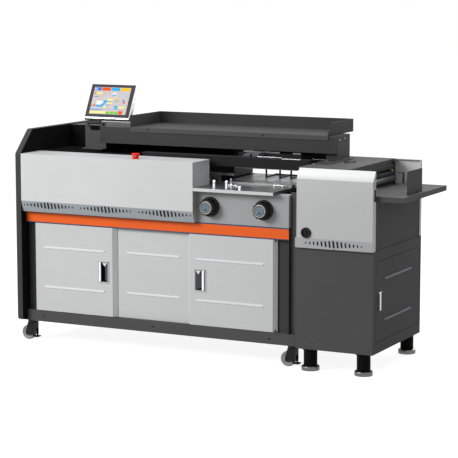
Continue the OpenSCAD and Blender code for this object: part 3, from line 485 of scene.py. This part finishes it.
# the CAD shapes with their edges rounded, as (rounding in millimetres, finish)
rounded = {
    "base_frame": (1.5, basePaint), "left_panel": (5, charcoalPaint),
    "cabinet_frame": (1, charcoalPaint), "cabinet_shell": (0.8, charcoalPaint),
    "middle_panel": (1.2, lightPaint), "orange_strip": (0.8, orangePaint),
    # painted shade: the inner frame is painted near-black, and the dial panel darker where the table shades
    # it
    "dial_panel": (0.8, dialPanelPaintedShade), "hood": (0.8, hoodPaint), "inner_frame": (0.8, blackAndPaintedShade),
    "top_beam": (1.2, charcoalPaint), "shelf": (1, charcoalPaint), "rear_housing": (1.2, charcoalPaint),
    "screen_bracket": (0.8, basePaint), "work_table": (1.2, tableSteel), "nip_frame": (0.8, charcoalPaint),
    "guide_rail": (2, railPaint), "milling_unit": (0.8, railPaint), "link_column": (1.2, basePaint),
    "feeder_cabinet": (2, charcoalPaint), "feeder_upper": (1, charcoalPaint), "feeder_front": (1, coverPaint),
    "feeder_rear": (1, lightPaint), "feeder_top": (1, basePaint), "cover_tray": (0.3, basePaint),
    "guide_fingers": (1, blackPlastic), "drive_motor": (2, motorBlue), "glue_tank": (1.5, machinedSteel),
}
shells = {}
for nodeName, (width, material) in rounded.items():
    shells[nodeName] = roundedCopy(nodeName, width)
    finishPiece(shells[nodeName], material, "machine", slotOf[nodeName])

# the same for the nodes that move, as (body, rounding, finish)
movingRounded = {
    "left_door": ("door_left", 1.2, lightPaint),
    "right_door": ("door_right", 1.2, lightPaint),
    "nip_bed": ("bed", 0.8, bedSteel),
    "nip_jaw_front": ("jaw_front", 1, bedSteel),
    "nip_jaw_rear": ("jaw_rear", 1, bedSteel),
    "clamp_carriage": ("carriage", 0.8, railPaint),
    "clamp_jaw": ("clamp", 0.8, jawSteel),
    "milling_cutter": ("cutter", 0.6, brightChrome),
    "glue_roller_left": ("glue_left", 1, machinedSteel),
    "glue_roller_right": ("glue_right", 1, machinedSteel),
    "feeder_door": ("door_feeder", 1.2, charcoalPaint),
    "feed_roller_low": ("feed_low", 0.8, rollerRubber),
    "feed_roller_high": ("feed_high", 0.8, rollerRubber),
    "tray_stop": ("stop", 0.3, charcoalPaint),
    "fork_front_left": ("castor_fl", 0.8, blackPlastic),
    "fork_front_right": ("castor_fr", 0.8, blackPlastic),
    "fork_rear_left": ("castor_rl", 0.8, blackPlastic),
    "fork_rear_right": ("castor_rr", 0.8, blackPlastic),
}
for nodeName, (body, width, material) in movingRounded.items():
    shells[nodeName] = roundedCopy(nodeName, width)
    finishPiece(shells[nodeName], material, body, slotOf[nodeName])


# which way a face looks or leans

def looksFront(face):
    return face.normal.y < -0.9


def looksRight(face):
    return face.normal.x > 0.9


def looksUp(face):
    return face.normal.z > 0.9


def leansForward(face):
    return face.normal.y < -0.6 and face.normal.z < -0.15


def leansBack(face):
    return face.normal.y < -0.3 and face.normal.z > 0.15


# faces that are finished apart from the rest of their piece, and the lines that bound some of them
paintLine = {"tableFront": at(0, 5, 0).y, "hoodTop": at(0, 0, 960).z, "cutterSide": at(965, 0, 0).x,
             "cutterLow": at(0, 0, 850).z, "jawTop": at(0, 0, 1000.4).z, "shelfLip": at(0, 318, 0).y,
             "ribFace": at(1954.4, 0, 0).x, "ribsFrom": at(0, 150, 0).y,
             "pullFace": at(1956.3, 0, 0).x, "pullTo": at(0, 112, 0).y}
facePaints = [
    # painted shade: the left panel's inner face and the rear housing's front are painted near-black
    ("left_panel", blackAndPaintedShade, looksRight),
    ("rear_housing", blackAndPaintedShade, looksFront),
    # painted highlight: the steel table's front edge is painted with the light hood paint
    ("work_table", hoodPaint, lambda face: looksFront(face) and face.center.y < paintLine["tableFront"]),
    ("hood", slopePaint, leansForward),
    # painted shade: the hood's top and right side are painted darker than its front
    ("hood", hoodTopSidePaintedShade, lambda face: looksUp(face) and face.center.z > paintLine["hoodTop"]),
    ("hood", hoodTopSidePaintedShade, looksRight),
    # painted light: the rear cover's inner front face is painted near-white
    ("feeder_rear", coverPaintedLight, looksFront),
    ("milling_unit", machinedSteel, lambda face: (looksFront(face) and face.center.x > paintLine["cutterSide"]
                                                  and face.center.z > paintLine["cutterLow"])),
    # painted highlight: the feeder front's upward slope is painted near-white
    ("feeder_front", coverPaintedLight, leansBack),
    ("clamp_carriage", jawSteel, lambda face: face.center.z > paintLine["jawTop"]),
    ("shelf", basePaint, lambda face: looksFront(face) and face.center.y < paintLine["shelfLip"]),
    ("top_beam", basePaint, looksRight),
    ("feeder_cabinet", basePaint, looksFront),
    ("feeder_door", ribGrey, lambda face: (face.center.x > paintLine["ribFace"]
                                           and face.center.y > paintLine["ribsFrom"])),
    ("feeder_door", silverFrame, lambda face: (face.center.x > paintLine["pullFace"]
                                               and face.center.y < paintLine["pullTo"])),
]
for nodeName, material, isChosen in facePaints:
    paintFaces(shells[nodeName], material, isChosen)
print("stage: rounded shells")

# the blue trims, and near-black sheets behind the vents as painted shade
plates = {
    "headBlue": (trimBlue, "dark_paint", (34.5, 47.2, 617.6), (1510.5, 49, 621.7)),
    "deckBlue": (trimBlue, "dark_paint", (34.5, 45.3, 671), (1510.5, 46, 676.2)),
    "hoodVentShade": (blackAndPaintedShade, "black_paint", (40, 19, 678), (1015, 20, 730)),
    "coverVentShade": (blackAndPaintedShade, "black_paint", (1571, 15.6, 597), (1946, 16.4, 642)),
}
for name, (material, slotName, low, high) in plates.items():
    finishPiece(block(name, low, high, rounding=0.2, segments=1), material, "machine", slotName)

# black pieces with round ends, one in each vent slot as painted shade; longest in the middle of a group.
# Each row has its groups' centres, the slots' pitch, y, z, and the slots' lean and slant in degrees.
vent = {"width": 10.6, "taper": 0.5, "thick": 1.2, "sides": 14, "longest": 37, "step": 4.1, "each": 7,
        "rows": {"hoodVents": ([192, 526, 860], 20.4, 5.75, 712.5, 15.55, -3),
                 "coverVents": ([1757], 20.3, 12.0, 619, 0, -8),
                 "rearVents": ([420, 1080], 20.4, 719.8, 560, 0, 0)}}


def makeVentShade(name, place, width, length, lean, slant):
    clearSelection()
    bpy.ops.mesh.primitive_cylinder_add(vertices=vent["sides"], radius=width / 2000,
                                        depth=vent["thick"] / 1000, location=place,
                                        rotation=(math.radians(90), 0, 0))
    ventShade = bpy.context.active_object
    ventShade.name = name
    settle(ventShade)
    bpy.ops.object.mode_set(mode="EDIT")
    bpy.ops.mesh.select_mode(type="VERT")
    for upper in (True, False):
        bpy.ops.mesh.select_all(action="DESELECT")
        bpy.ops.object.mode_set(mode="OBJECT")
        for vertex in ventShade.data.vertices:
            vertex.select = (vertex.co.z > place.z) == upper
        bpy.ops.object.mode_set(mode="EDIT")
        shift = (length - width) / 2000
        bpy.ops.transform.translate(value=(0, 0, shift if upper else -shift))
    bpy.ops.object.mode_set(mode="OBJECT")
    return leaned(leaned(ventShade, slant, "Y", place), lean, "X", place)


for name, (centres, pitch, y, z, lean, slant) in vent["rows"].items():
    ventShades = []
    for centre in centres:
        for i in range(-vent["each"], vent["each"] + 1):
            width = vent["width"] - vent["taper"] * abs(i)
            length = vent["longest"] - vent["step"] * abs(i)
            ventShades.append(makeVentShade(name, at(centre + i * pitch, y, z), width, length, lean, slant))
    finishPiece(joined(name, ventShades), blackPlastic, "machine", "black_paint")
band = block("coverBand", (1558.6, 11.6, 594.6), (1953.4, 12.6, 642), rounding=0.4, segments=1)
finishPiece(band, bandPaint, "machine", "grey_paint")
print("stage: trims and vents")

# bars across the doors and the panel between them, painted white as a painted highlight, as (left, right,
# front, body)
rib = {"heights": (289, 493), "half": 5.4, "thick": 3.6, "rounding": 1.7,
       "panels": {"leftRib": (139.5, 493.5, 42.9, "door_left"), "middleRib": (610.5, 910.5, 65, "machine"),
                  "rightRib": (1015.5, 1379.5, 42.9, "door_right")}}
for name, (x0, x1, front, body) in rib["panels"].items():
    bars = []
    for z in rib["heights"]:
        low, high = (x0, front, z - rib["half"]), (x1, front + rib["thick"], z + rib["half"])
        bars.append(block(name, low, high, rib["rounding"], segments=3))
    finishPiece(joined(name, bars), paintedHighlightWhite, body, "grey_paint")
print("stage: ribs")

# door pulls: a rim and a sloped cup with painted shade inside, a grip bar along one side, and a bright corner
# at the cup's top as a painted reflection.
# Each door has its pull's left edge, the grip bar's place across it, the side it faces and its body.
pull = {"low": 334, "high": 445, "width": 64, "front": 42.5, "depth": 19, "back": 24, "rim": 5,
        "shift": 11, "floorWidth": 0.42, "floorHeight": 0.76, "lining": (1.6, 27.5, 52),
        "facesOut": 0.05, "facesAside": 0.2, "cupRounding": 1.2,
        "barWidth": 12, "barOut": 5.3, "barIn": 7, "barEnd": 6, "barRounding": 3.2,
        "cornerRadius": 16, "cornerThick": 2, "cornerSquash": 0.8, "cornerAside": 9, "cornerDrop": 14,
        "cornerBack": 0.4, "cornerRounding": 0.4,
        "doors": {"left_handle": (456, 8, 1, "door_left"), "right_handle": (1003, 44, -1, "door_right")}}


def makeCup(nodeName, x, side, body):
    low, high, front = pull["low"], pull["high"], pull["front"]
    clearSelection()
    a, b = at(x, front, low), at(x + pull["width"], front + pull["back"], high)
    bpy.ops.mesh.primitive_cube_add(size=1, location=(a + b) / 2)
    cup = bpy.context.active_object
    cup.name = nodeName + "Cup"
    cup.scale = b - a
    settle(cup)
    pickFaces(cup, looksFront)
    bpy.ops.mesh.inset(thickness=pull["rim"] / 1000)
    sink = (-side * pull["shift"] / 1000, pull["depth"] / 1000, 0)
    bpy.ops.mesh.extrude_region_move(TRANSFORM_OT_translate={"value": sink})
    middle = at(x + pull["width"] / 2 - side * pull["shift"], front + pull["depth"], (low + high) / 2)
    bpy.ops.transform.resize(value=(pull["floorWidth"], 1, pull["floorHeight"]), center_override=middle)
    bpy.ops.object.mode_set(mode="OBJECT")
    softenEdges(cup, pull["cupRounding"])
    finishPiece(cup, pullRim, body, "chrome", nodeName)
    inset, halfWidth, halfHeight = pull["lining"]
    behind = at(0, front + inset, 0).y
    centre = at(x + pull["width"] / 2, 0, (low + high) / 2)

    def inCup(face):
        return (face.center.y > behind and face.normal.y < -pull["facesOut"]
                and abs(face.center.x - centre.x) < halfWidth / 1000
                and abs(face.center.z - centre.z) < halfHeight / 1000)

    # painted shade: the cup's inside is painted near-black, and its sloped side that faces the grip dark grey
    paintFaces(cup, blackAndPaintedShade, inCup)
    paintFaces(cup, darkGreyAndPaintedShade, lambda face: inCup(face) and face.normal.x * side < -pull["facesAside"])


def makePull(nodeName, x, gripAt, side, body):
    low, high, front = pull["low"], pull["high"], pull["front"]
    makeCup(nodeName, x, side, body)
    bar = block(nodeName + "Bar", (x + gripAt, front - pull["barOut"], low + pull["barEnd"]),
                (x + gripAt + pull["barWidth"], front + pull["barIn"], high - pull["barEnd"]),
                pull["barRounding"], segments=3)
    finishPiece(bar, silverFrame, body, "chrome")
    # painted reflection: a white triangle at the cup's top
    clearSelection()
    place = at(x + pull["width"] / 2 + side * pull["cornerAside"], front + pull["cornerBack"],
               high - pull["cornerDrop"])
    bpy.ops.mesh.primitive_cylinder_add(vertices=3, radius=pull["cornerRadius"] / 1000,
                                        depth=pull["cornerThick"] / 1000, location=place,
                                        rotation=(math.radians(-90), 0, 0))
    corner = bpy.context.active_object
    corner.name = nodeName + "Corner"
    corner.scale = (1, pull["cornerSquash"], 1)
    settle(corner)
    softenEdges(corner, pull["cornerRounding"], segments=1)
    finishPiece(corner, paintedHighlightWhite, body, "chrome")


for nodeName, values in pull["doors"].items():
    makePull(nodeName, *values)
print("stage: door pulls")

# adjusting knobs, turned along y; heights and fronts count forward from y = front
knob = {
    "z": 756.5, "front": 46, "centres": {"knob_left": (1093, "knob_l"), "knob_right": (1381, "knob_r")},
    "grip": [(8, -60), (8, 0.5), (47, 0.5), (49, 3), (49, 9), (46, 12.5), (41.5, 14), (40, 18), (40, 43),
             (38, 48), (34, 50.6), (30, 51)],
    "flutes": 12, "fluteRadius": 40.5, "flute": [(1.2, 14), (3.4, 15), (3.4, 42), (1.5, 44)],
    "bezel": [(30.6, 50), (30.6, 54.6), (29.8, 56.6), (28.4, 57), (27, 55.8), (26.7, 53.4)],
    "rim": [(26.7, 52.8), (26.7, 53.9), (25.6, 54.1)],
    "dial": [(23.8, 53.6), (23.8, 54.5), (22.8, 54.7)], "dialFace": 54.6,
    "ticks": 24, "longEvery": 6, "longTick": 2.6, "shortTick": 1.4, "tickHalf": 0.35, "tickEnd": 22,
    "tickFront": 55.1, "handFront": 55.8, "handReach": 10, "handLean": 38, "handPeak": -5,
    "handLow": -9, "handHigh": -4.4,
}


def makeMarks(nodeName, x):
    # ticks round the dial and two hands that meet in a peak under its centre
    z, back = knob["z"], knob["front"] - knob["dialFace"]
    marks = []
    for i in range(knob["ticks"]):
        size = knob["longTick"] if i % knob["longEvery"] == 0 else knob["shortTick"]
        tick = block(nodeName + "Tick",
                     (x - knob["tickHalf"], knob["front"] - knob["tickFront"], z + knob["tickEnd"] - size),
                     (x + knob["tickHalf"], back, z + knob["tickEnd"]), rounding=0.1, segments=1)
        marks.append(leaned(tick, i * 360 / knob["ticks"], "Y", at(x, 0, z)))
    for side in (-1, 1):
        reach = side * knob["handReach"]
        hand = block(nodeName + "Hand",
                     (x + min(reach, 0), knob["front"] - knob["handFront"], z + knob["handLow"]),
                     (x + max(reach, 0), back, z + knob["handHigh"]), rounding=0.4, segments=1)
        marks.append(leaned(hand, side * knob["handLean"], "Y", at(x, 0, z + knob["handPeak"])))
    return joined(nodeName + "Marks", marks)


def makeKnob(nodeName, x, body):
    z, front = knob["z"], knob["front"]
    parts = [turned(nodeName + "Grip", knob["grip"], (x, front, z), "front", sides=96)]
    for i in range(knob["flutes"]):
        angle = math.radians(i * 360 / knob["flutes"])
        place = (x + knob["fluteRadius"] * math.cos(angle), front, z + knob["fluteRadius"] * math.sin(angle))
        parts.append(turned(nodeName + "Flute", knob["flute"], place, "front", sides=12))
    finishPiece(joined(nodeName + "Grip", parts), blackPlastic, body, slotOf[nodeName], nodeName)
    bezel = turned(nodeName + "Bezel", knob["bezel"], (x, front, z), "front", sides=96)
    finishPiece(bezel, creamRing, body, "chrome")
    rim = turned(nodeName + "Rim", knob["rim"], (x, front, z), "front", sides=64)
    finishPiece(rim, bezelBlack, body, "black_paint")
    dial = turned(nodeName + "Dial", knob["dial"], (x, front, z), "front", sides=64)
    finishPiece(dial, dialBlue, body, "blue_paint")
    finishPiece(makeMarks(nodeName, x), handPaint, body, "chrome")


for nodeName, (x, body) in knob["centres"].items():
    makeKnob(nodeName, x, body)
print("stage: knobs")

# emergency stop: a collar, and the button with its skirt and a blue-grey spot that is a painted reflection
stop = {
    "place": (684, 35, 972),
    "collar": [(10.6, -22), (10.6, -0.1), (17, 0), (17.6, 0.6), (17.6, 1.4), (14.9, 1.8), (14.9, 6.6),
               (14, 7)],
    "button": [(6, -12), (6, 12.5), (15.2, 12.5), (15.2, 7.6), (16.8, 7.6), (16.8, 18.5), (20, 20),
               (20, 25.6), (19, 27), (10, 27), (9.4, 26.2), (2, 26)],
    "stopReflection": ((681, 17.4, 984.5), (694, 21, 990)),
}
collar = turned("stopCollar", stop["collar"], stop["place"], "up", sides=48)
finishPiece(collar, stopRed, "machine", "yellow_plastic", "estop_collar")
button = turned("stopButton", stop["button"], stop["place"], "up", sides=64)
finishPiece(button, stopRed, "estop", "red_plastic", "estop_button")
# painted reflection: a blue-grey spot on the red button
stopReflection = block("stopPaintedReflection", *stop["stopReflection"])
finishPiece(stopReflection, dialBlue, "estop", "red_plastic")

# signal buzzer: a ring round a recess with a raised middle
buzzer = {"place": (1616, 12, 667),
          "profile": [(25, 0), (25, 7), (23.4, 9.6), (17.2, 10), (16, 8.6), (15.6, 3.2), (7.6, 3), (7.2, 8.8),
                      (5.4, 10.6), (1, 10.8)]}
buzzerShell = turned("buzzerShell", buzzer["profile"], buzzer["place"], "front", sides=72)
finishPiece(buzzerShell, blackPlastic, "machine", "black_plastic", "signal_buzzer")
print("stage: buttons")

# touch screen: drawn upright about its tilt pin, then leaned back with it. Places count from the pin,
# and each block has two corners, its rounding and the rounding's segments.
screen = {
    "pin": (193, 391, 1103), "lean": -27, "pinProfile": [(3, -3), (3, 101)],
    "blocks": {"screenHousing": ((0, -40, 12), (267, -8, 207), 4, 3),
               "screenArm": ((13, -12, -3.5), (85, 2.5, 24.5), 3, 3),
               "screenBezel": ((3.5, -41, 21), (263.5, -38, 205), 1.2, 2),
               "screenClip": ((-4, -32, 10), (1, -20, 34), 1.2, 2),
               "screenField": ((24, -41.4, 38), (241, -40.6, 189), 0.3, 1)},
    "tileFront": -42, "tileBack": -41.3,
}


def onScreen(x, y, z):
    return tuple(base + part for base, part in zip(screen["pin"], (x, y, z)))


def screenBlock(name, low, high, rounding, segments):
    piece = block(name, onScreen(*low), onScreen(*high), rounding, segments)
    return leaned(piece, screen["lean"], "X", at(*screen["pin"]))


screenPieces = {name: screenBlock(name, *values) for name, values in screen["blocks"].items()}
pin = turned("screenPin", screen["pinProfile"], screen["pin"], "right", sides=32)
finishPiece(joined("screenArm", [screenPieces["screenArm"], pin]), charcoalPaint, "screen", "dark_paint")
finishPiece(screenPieces["screenHousing"], silverFrame, "screen", "black_plastic", "touch_screen")
finishPiece(screenPieces["screenBezel"], bezelBlack, "screen", "black_plastic")
finishPiece(screenPieces["screenClip"], silverFrame, "screen", "chrome")
fieldRose = lit("fieldRose", (0.6, 0.55, 0.52))
finishPiece(screenPieces["screenField"], fieldRose, "screen", "black_plastic")

# the screen's tiles: a colour, then each tile's (left, low, right, high) from the pin
fields = {
    "Blue": ((0.03, 0.18, 0.75),
             [(28, 170, 66, 187), (30, 134, 56, 137), (30, 60, 96, 63), (112, 108, 140, 111),
              (112, 88, 140, 91), (160, 112, 186, 115), (24, 82, 40, 86)]),
    "Orange": ((0.9, 0.1, 0.01),
               [(70, 170, 122, 187), (32, 150, 40, 158), (212, 100, 222, 114), (196, 40, 220, 58),
                (38, 82, 48, 92)]),
    "Sky": ((0.03, 0.42, 0.9),
            [(126, 170, 176, 187), (52, 78, 96, 88), (84, 88, 104, 98), (96, 98, 112, 116),
             (166, 70, 184, 86), (204, 108, 214, 124), (140, 142, 160, 147), (28, 66, 232, 67.5)]),
    "Yellow": ((0.95, 0.55, 0.02), [(180, 170, 236, 187), (166, 118, 184, 128), (30, 84, 38, 92)]),
    "Straw": ((0.92, 0.84, 0.26),
              [(42, 148, 76, 160), (118, 114, 148, 124), (118, 96, 148, 104), (100, 74, 114, 86),
               (188, 72, 226, 82), (28, 42, 120, 54)]),
    "Paper": ((0.9, 0.9, 0.92), [(54, 92, 90, 112), (138, 150, 158, 158), (28, 174, 44, 184)]),
    "Mist": ((0.35, 0.5, 0.75),
             [(172, 150, 186, 156), (194, 150, 208, 156), (216, 150, 230, 156),
              (172, 138, 186, 143), (194, 138, 208, 143), (216, 138, 230, 143)]),
    "Green": ((0.16, 0.6, 0.03), [(124, 41, 144, 53), (148, 41, 168, 53), (172, 41, 190, 53)]),
}
front, back = screen["tileFront"], screen["tileBack"]
for name, (colour, places) in fields.items():
    tiles = []
    for x0, z0, x1, z1 in places:
        tiles.append(screenBlock("screenTile", (x0, front, z0), (x1, back, z1), rounding=0.2, segments=1))
    finishPiece(joined("screen" + name, tiles), lit("field" + name, colour), "screen", "black_plastic")
print("stage: touch screen")

# posts and latches on the table. Each post is (x, y, height), with a neck at a share of its height
# and a rounded top; the needle stands on one of them.
post = {"deck": 849, "places": [(1120, 30, 41), (1187, 30, 41), (1199, 55, 24), (1269, 6.5, 22)],
        "shaft": [(7.4, 0), (7.4, 0.56), (5.6, 0.58), (5.6, 0.66), (7.4, 0.68)],
        "top": [(7.4, -3), (5.4, -1), (3, 0)],
        "needle": [(2, 23), (2, 49), (1, 50)], "needleAt": (1199, 55)}
posts = []
for x, y, height in post["places"]:
    profile = [(radius, height * share) for radius, share in post["shaft"]]
    profile += [(radius, height + drop) for radius, drop in post["top"]]
    posts.append(turned("tablePost", profile, (x, y, post["deck"]), "up", sides=32))
posts.append(turned("tableNeedle", post["needle"], (*post["needleAt"], post["deck"]), "up", sides=16))
finishPiece(joined("tablePosts", posts), brightChrome, "machine", "chrome", "table_posts")
latch = {"rounding": 1.4, "parts": {"latchFootLeft": ((1360, 194, 849), (1367, 206, 857)),
                                    "latchFootRight": ((1403, 194, 849), (1410, 206, 857)),
                                    "latchBar": ((1356, 197, 856), (1414, 203, 861)),
                                    "clipPlate": ((1140, 134, 849), (1196, 146, 857)),
                                    "clipTongue": ((1159, 116, 849), (1167, 146, 854))}}
latches = []
for name, (low, high) in latch["parts"].items():
    latches.append(block(name, low, high, latch["rounding"], segments=3))
finishPiece(joined("tableLatches", latches), machinedSteel, "machine", "chrome")
print("stage: table fittings")

# castor wheels, turned along y from their middle
castor = {
    "radius": 37.5,
    "profile": [(6, -11), (12, -12), (24, -10), (27, -12.2), (32.5, -13), (35.8, -11.5), (37.5, -8),
                (37.5, 8), (35.8, 11.5), (32.5, 13), (27, 12.2), (24, 10), (12, 12), (6, 11)],
    "wheels": {"wheel_front_left": (20, 80, "tyre_fl"), "wheel_front_right": (1497, 80, "tyre_fr"),
               "wheel_rear_left": (20, 640, "tyre_rl"), "wheel_rear_right": (1497, 640, "tyre_rr")},
}
for nodeName, (x, y, body) in castor["wheels"].items():
    tyre = turned(nodeName + "Tyre", castor["profile"], (x, y, castor["radius"]), "front", sides=72)
    finishPiece(tyre, softRubber, body, "grey_rubber", nodeName)
print("stage: castors")

# levelling feet: a metal base cup, and a black sleeve whose ribs repeat between its foot and its top
feet = {
    "x": (1624, 1898), "y": (55, 622),
    "cup": [(43.2, 0), (44, 1.5), (44, 17), (42.5, 20.5), (36, 23), (30, 23.5)],
    "sleeveFoot": [(31, 22), (33, 23.5)],
    "rib": [(30.5, 0), (33, 2), (33.4, 4.6), (33, 7.2), (30.5, 9)], "ribs": 7, "ribsFrom": 25, "pitch": 10,
    "sleeveTop": [(30, 97), (37.4, 98.4), (38, 100), (38, 103.5), (8, 103.6), (8, 116)],
}
sleeve = list(feet["sleeveFoot"])
for i in range(feet["ribs"]):
    start = feet["ribsFrom"] + i * feet["pitch"]
    sleeve += [(radius, start + height) for radius, height in feet["rib"]]
sleeve += feet["sleeveTop"]
corners = [(x, y, 0) for x in feet["x"] for y in feet["y"]]
cups = joined("footCups", [turned("footCup", feet["cup"], corner, "up", sides=56) for corner in corners])
finishPiece(cups, footMetal, "machine", "grey_rubber", "levelling_feet")
sleeves = joined("footSleeves", [turned("footSleeve", sleeve, corner, "up", sides=56) for corner in corners])
finishPiece(sleeves, footRubber, "machine", "grey_rubber")
print("stage: feet")

# screw heads at (x, y, z, facing), and the rail's end cap, which has the same form.
# The profile is (share of the head's radius, height).
screwHead = [(1, -1), (1, 0.8), (0.8, 1.7), (0.35, 1.8), (0.3, 0.9)]
screws = {
    "darkScrews": (blackAndPaintedShade, "black_paint", 4.2,
                   [(135, 46, 138, "front"), (770, 46, 136, "front"), (1408, 46, 132, "front"),
                    (595, 317, 1090, "front"), (1242, 317, 1088, "front")]),
    "endScrews": (machinedSteel, "steel", 3.6, [(1628.5, 380, 1076, "right"), (1628.5, 440, 1078, "right")]),
    "rearScrews": (machinedSteel, "steel", 4.2,
                   [(x, 720, z, "back") for x in (70, 415, 760, 1105, 1450) for z in (140, 640)]
                   + [(x, 652, z, "back") for x in (1590, 1922) for z in (160, 560, 900)]),
    "railCap": (blackPlastic, "black_paint", 12, [(1541, 233, 967, "right")]),
}
for name, (material, slotName, radius, places) in screws.items():
    heads = []
    profile = [(radius * share, height) for share, height in screwHead]
    for x, y, z, facing in places:
        heads.append(turned("screwHead", profile, (x, y, z), facing, sides=20))
    finishPiece(joined(name, heads), material, "machine", slotName)

# small fittings on the feeder, at its mouth, on the rear box and on the guide rail, and those that
# ride on the clamp carriage over the rail: (finish, slot, body, rounding, blocks)
fittings = {
    "feederClip": (blackPlastic, "black_paint", "machine", 0.6,
                   [((1684, 306, 972), (1700, 420, 975)), ((1666, 352, 972), (1718, 368, 975.5))]),
    "feederBracket": (jawSteel, "chrome", "machine", 0.6,
                      [((1505, 336, 977.2), (1588, 389, 980)), ((1505, 336, 977.2), (1509, 389, 985))]),
    # painted shade: a black block stands for the dark opening of a slot on the rear box
    "rearSlotShade": (blackPlastic, "black_paint", "machine", 0.6, [((34.6, 489.2, 978), (111, 490.2, 994))]),
    "mouthFitting": (brass, "chrome", "machine", 0.6, [((1829, 538, 917.7), (1841, 549, 928))]),
    "flangeBracket": (blackPlastic, "black_paint", "machine", 0.6, [((1949.5, 31, 832), (1953, 47, 880))]),
    "railPlate": (machinedSteel, "steel", "machine", 0.6, [((1396, 208, 986.6), (1494, 225, 989.4))]),
    "clampShoes": (darkGreyAndPaintedShade, "steel", "carriage", 0.8,
                   [((1174, 240, 988.4), (1186, 262, 996)), ((1182, 238, 988.4), (1212, 312, 1002)),
                    ((1222, 238, 988.4), (1258, 312, 1006))]),
    "clampStrip": (machinedSteel, "steel", "carriage", 0.8, [((1252, 236, 988.2), (1384, 254, 991.6))]),
}
for name, (material, slotName, body, rounding, blocks) in fittings.items():
    parts = [block(name, low, high, rounding) for low, high in blocks]
    finishPiece(joined(name, parts), material, body, slotName)
print("stage: small fittings")

# floor, background and area lamps, in metres; a lamp has its place, its aim, its two sides and its power
studio = {
    "ambient": 0.4, "floorSize": 60, "floorGlow": 0.9, "floorTone": 0.3, "floorRoughness": 0.95,
    "floorGloss": 0.1,
    "lamps": {"keyPanel": ((-3.2, -5.0, 3.6), (0, 0, 0.6), (3, 2.4), 300),
              "sidePanel": ((5.2, -2.2, 2.4), (0, 0, 0.6), (2, 2), 8),
              "topPanel": ((0, 0.5, 4.6), (0, 0, 0), (4, 3), 110),
              "backPanel": ((1.2, 5.4, 2.6), (0, 0, 0.6), (3, 2), 130)},
}


def seenFrom(tree):
    # 1 where a camera, glossy or transmission ray looks, else 0
    path = tree.nodes.new("ShaderNodeLightPath")
    direct = combined(tree, "MAXIMUM", (path, "Is Camera Ray"), (path, "Is Glossy Ray"))
    return combined(tree, "MAXIMUM", (direct, "Value"), (path, "Is Transmission Ray"))


clearSelection()
bpy.ops.mesh.primitive_plane_add(size=studio["floorSize"], location=(0, 0, 0))
floor = bpy.context.active_object
floor.name = "studioFloor"
floorPaint = bpy.data.materials.new("studioFloorPaint")
floorPaint.use_nodes = True
floorTree = floorPaint.node_tree
floorShader = floorTree.nodes["Principled BSDF"]
tone = studio["floorTone"]
floorShader.inputs["Base Color"].default_value = (tone, tone, tone, 1)
floorShader.inputs["Roughness"].default_value = studio["floorRoughness"]
floorShader.inputs["Specular IOR Level"].default_value = studio["floorGloss"]
floorShader.inputs["Emission Color"].default_value = (1, 1, 1, 1)
glow = combined(floorTree, "MULTIPLY", (seenFrom(floorTree), "Value"), studio["floorGlow"])
wire(floorTree, glow, "Value", floorShader, "Emission Strength")
floor.data.materials.append(floorPaint)

world = bpy.data.worlds.new("studio")
bpy.context.scene.world = world
world.use_nodes = True
background = world.node_tree.nodes["Background"]
level = spreadOf(world.node_tree, seenFrom(world.node_tree), "Value", (0, 1), (studio["ambient"], 1))
wire(world.node_tree, level, "Result", background, "Strength")
background.inputs["Color"].default_value = (1, 1, 1, 1)

for name, (place, aim, (width, height), power) in studio["lamps"].items():
    clearSelection()
    bpy.ops.object.light_add(type="AREA", location=place)
    light = bpy.context.active_object
    light.name = name
    light.data.shape = "RECTANGLE"
    light.data.size = width
    light.data.size_y = height
    light.data.energy = power
    light.rotation_euler = (Vector(aim) - Vector(place)).to_track_quat("-Z", "Y").to_euler()
print("stage: studio")
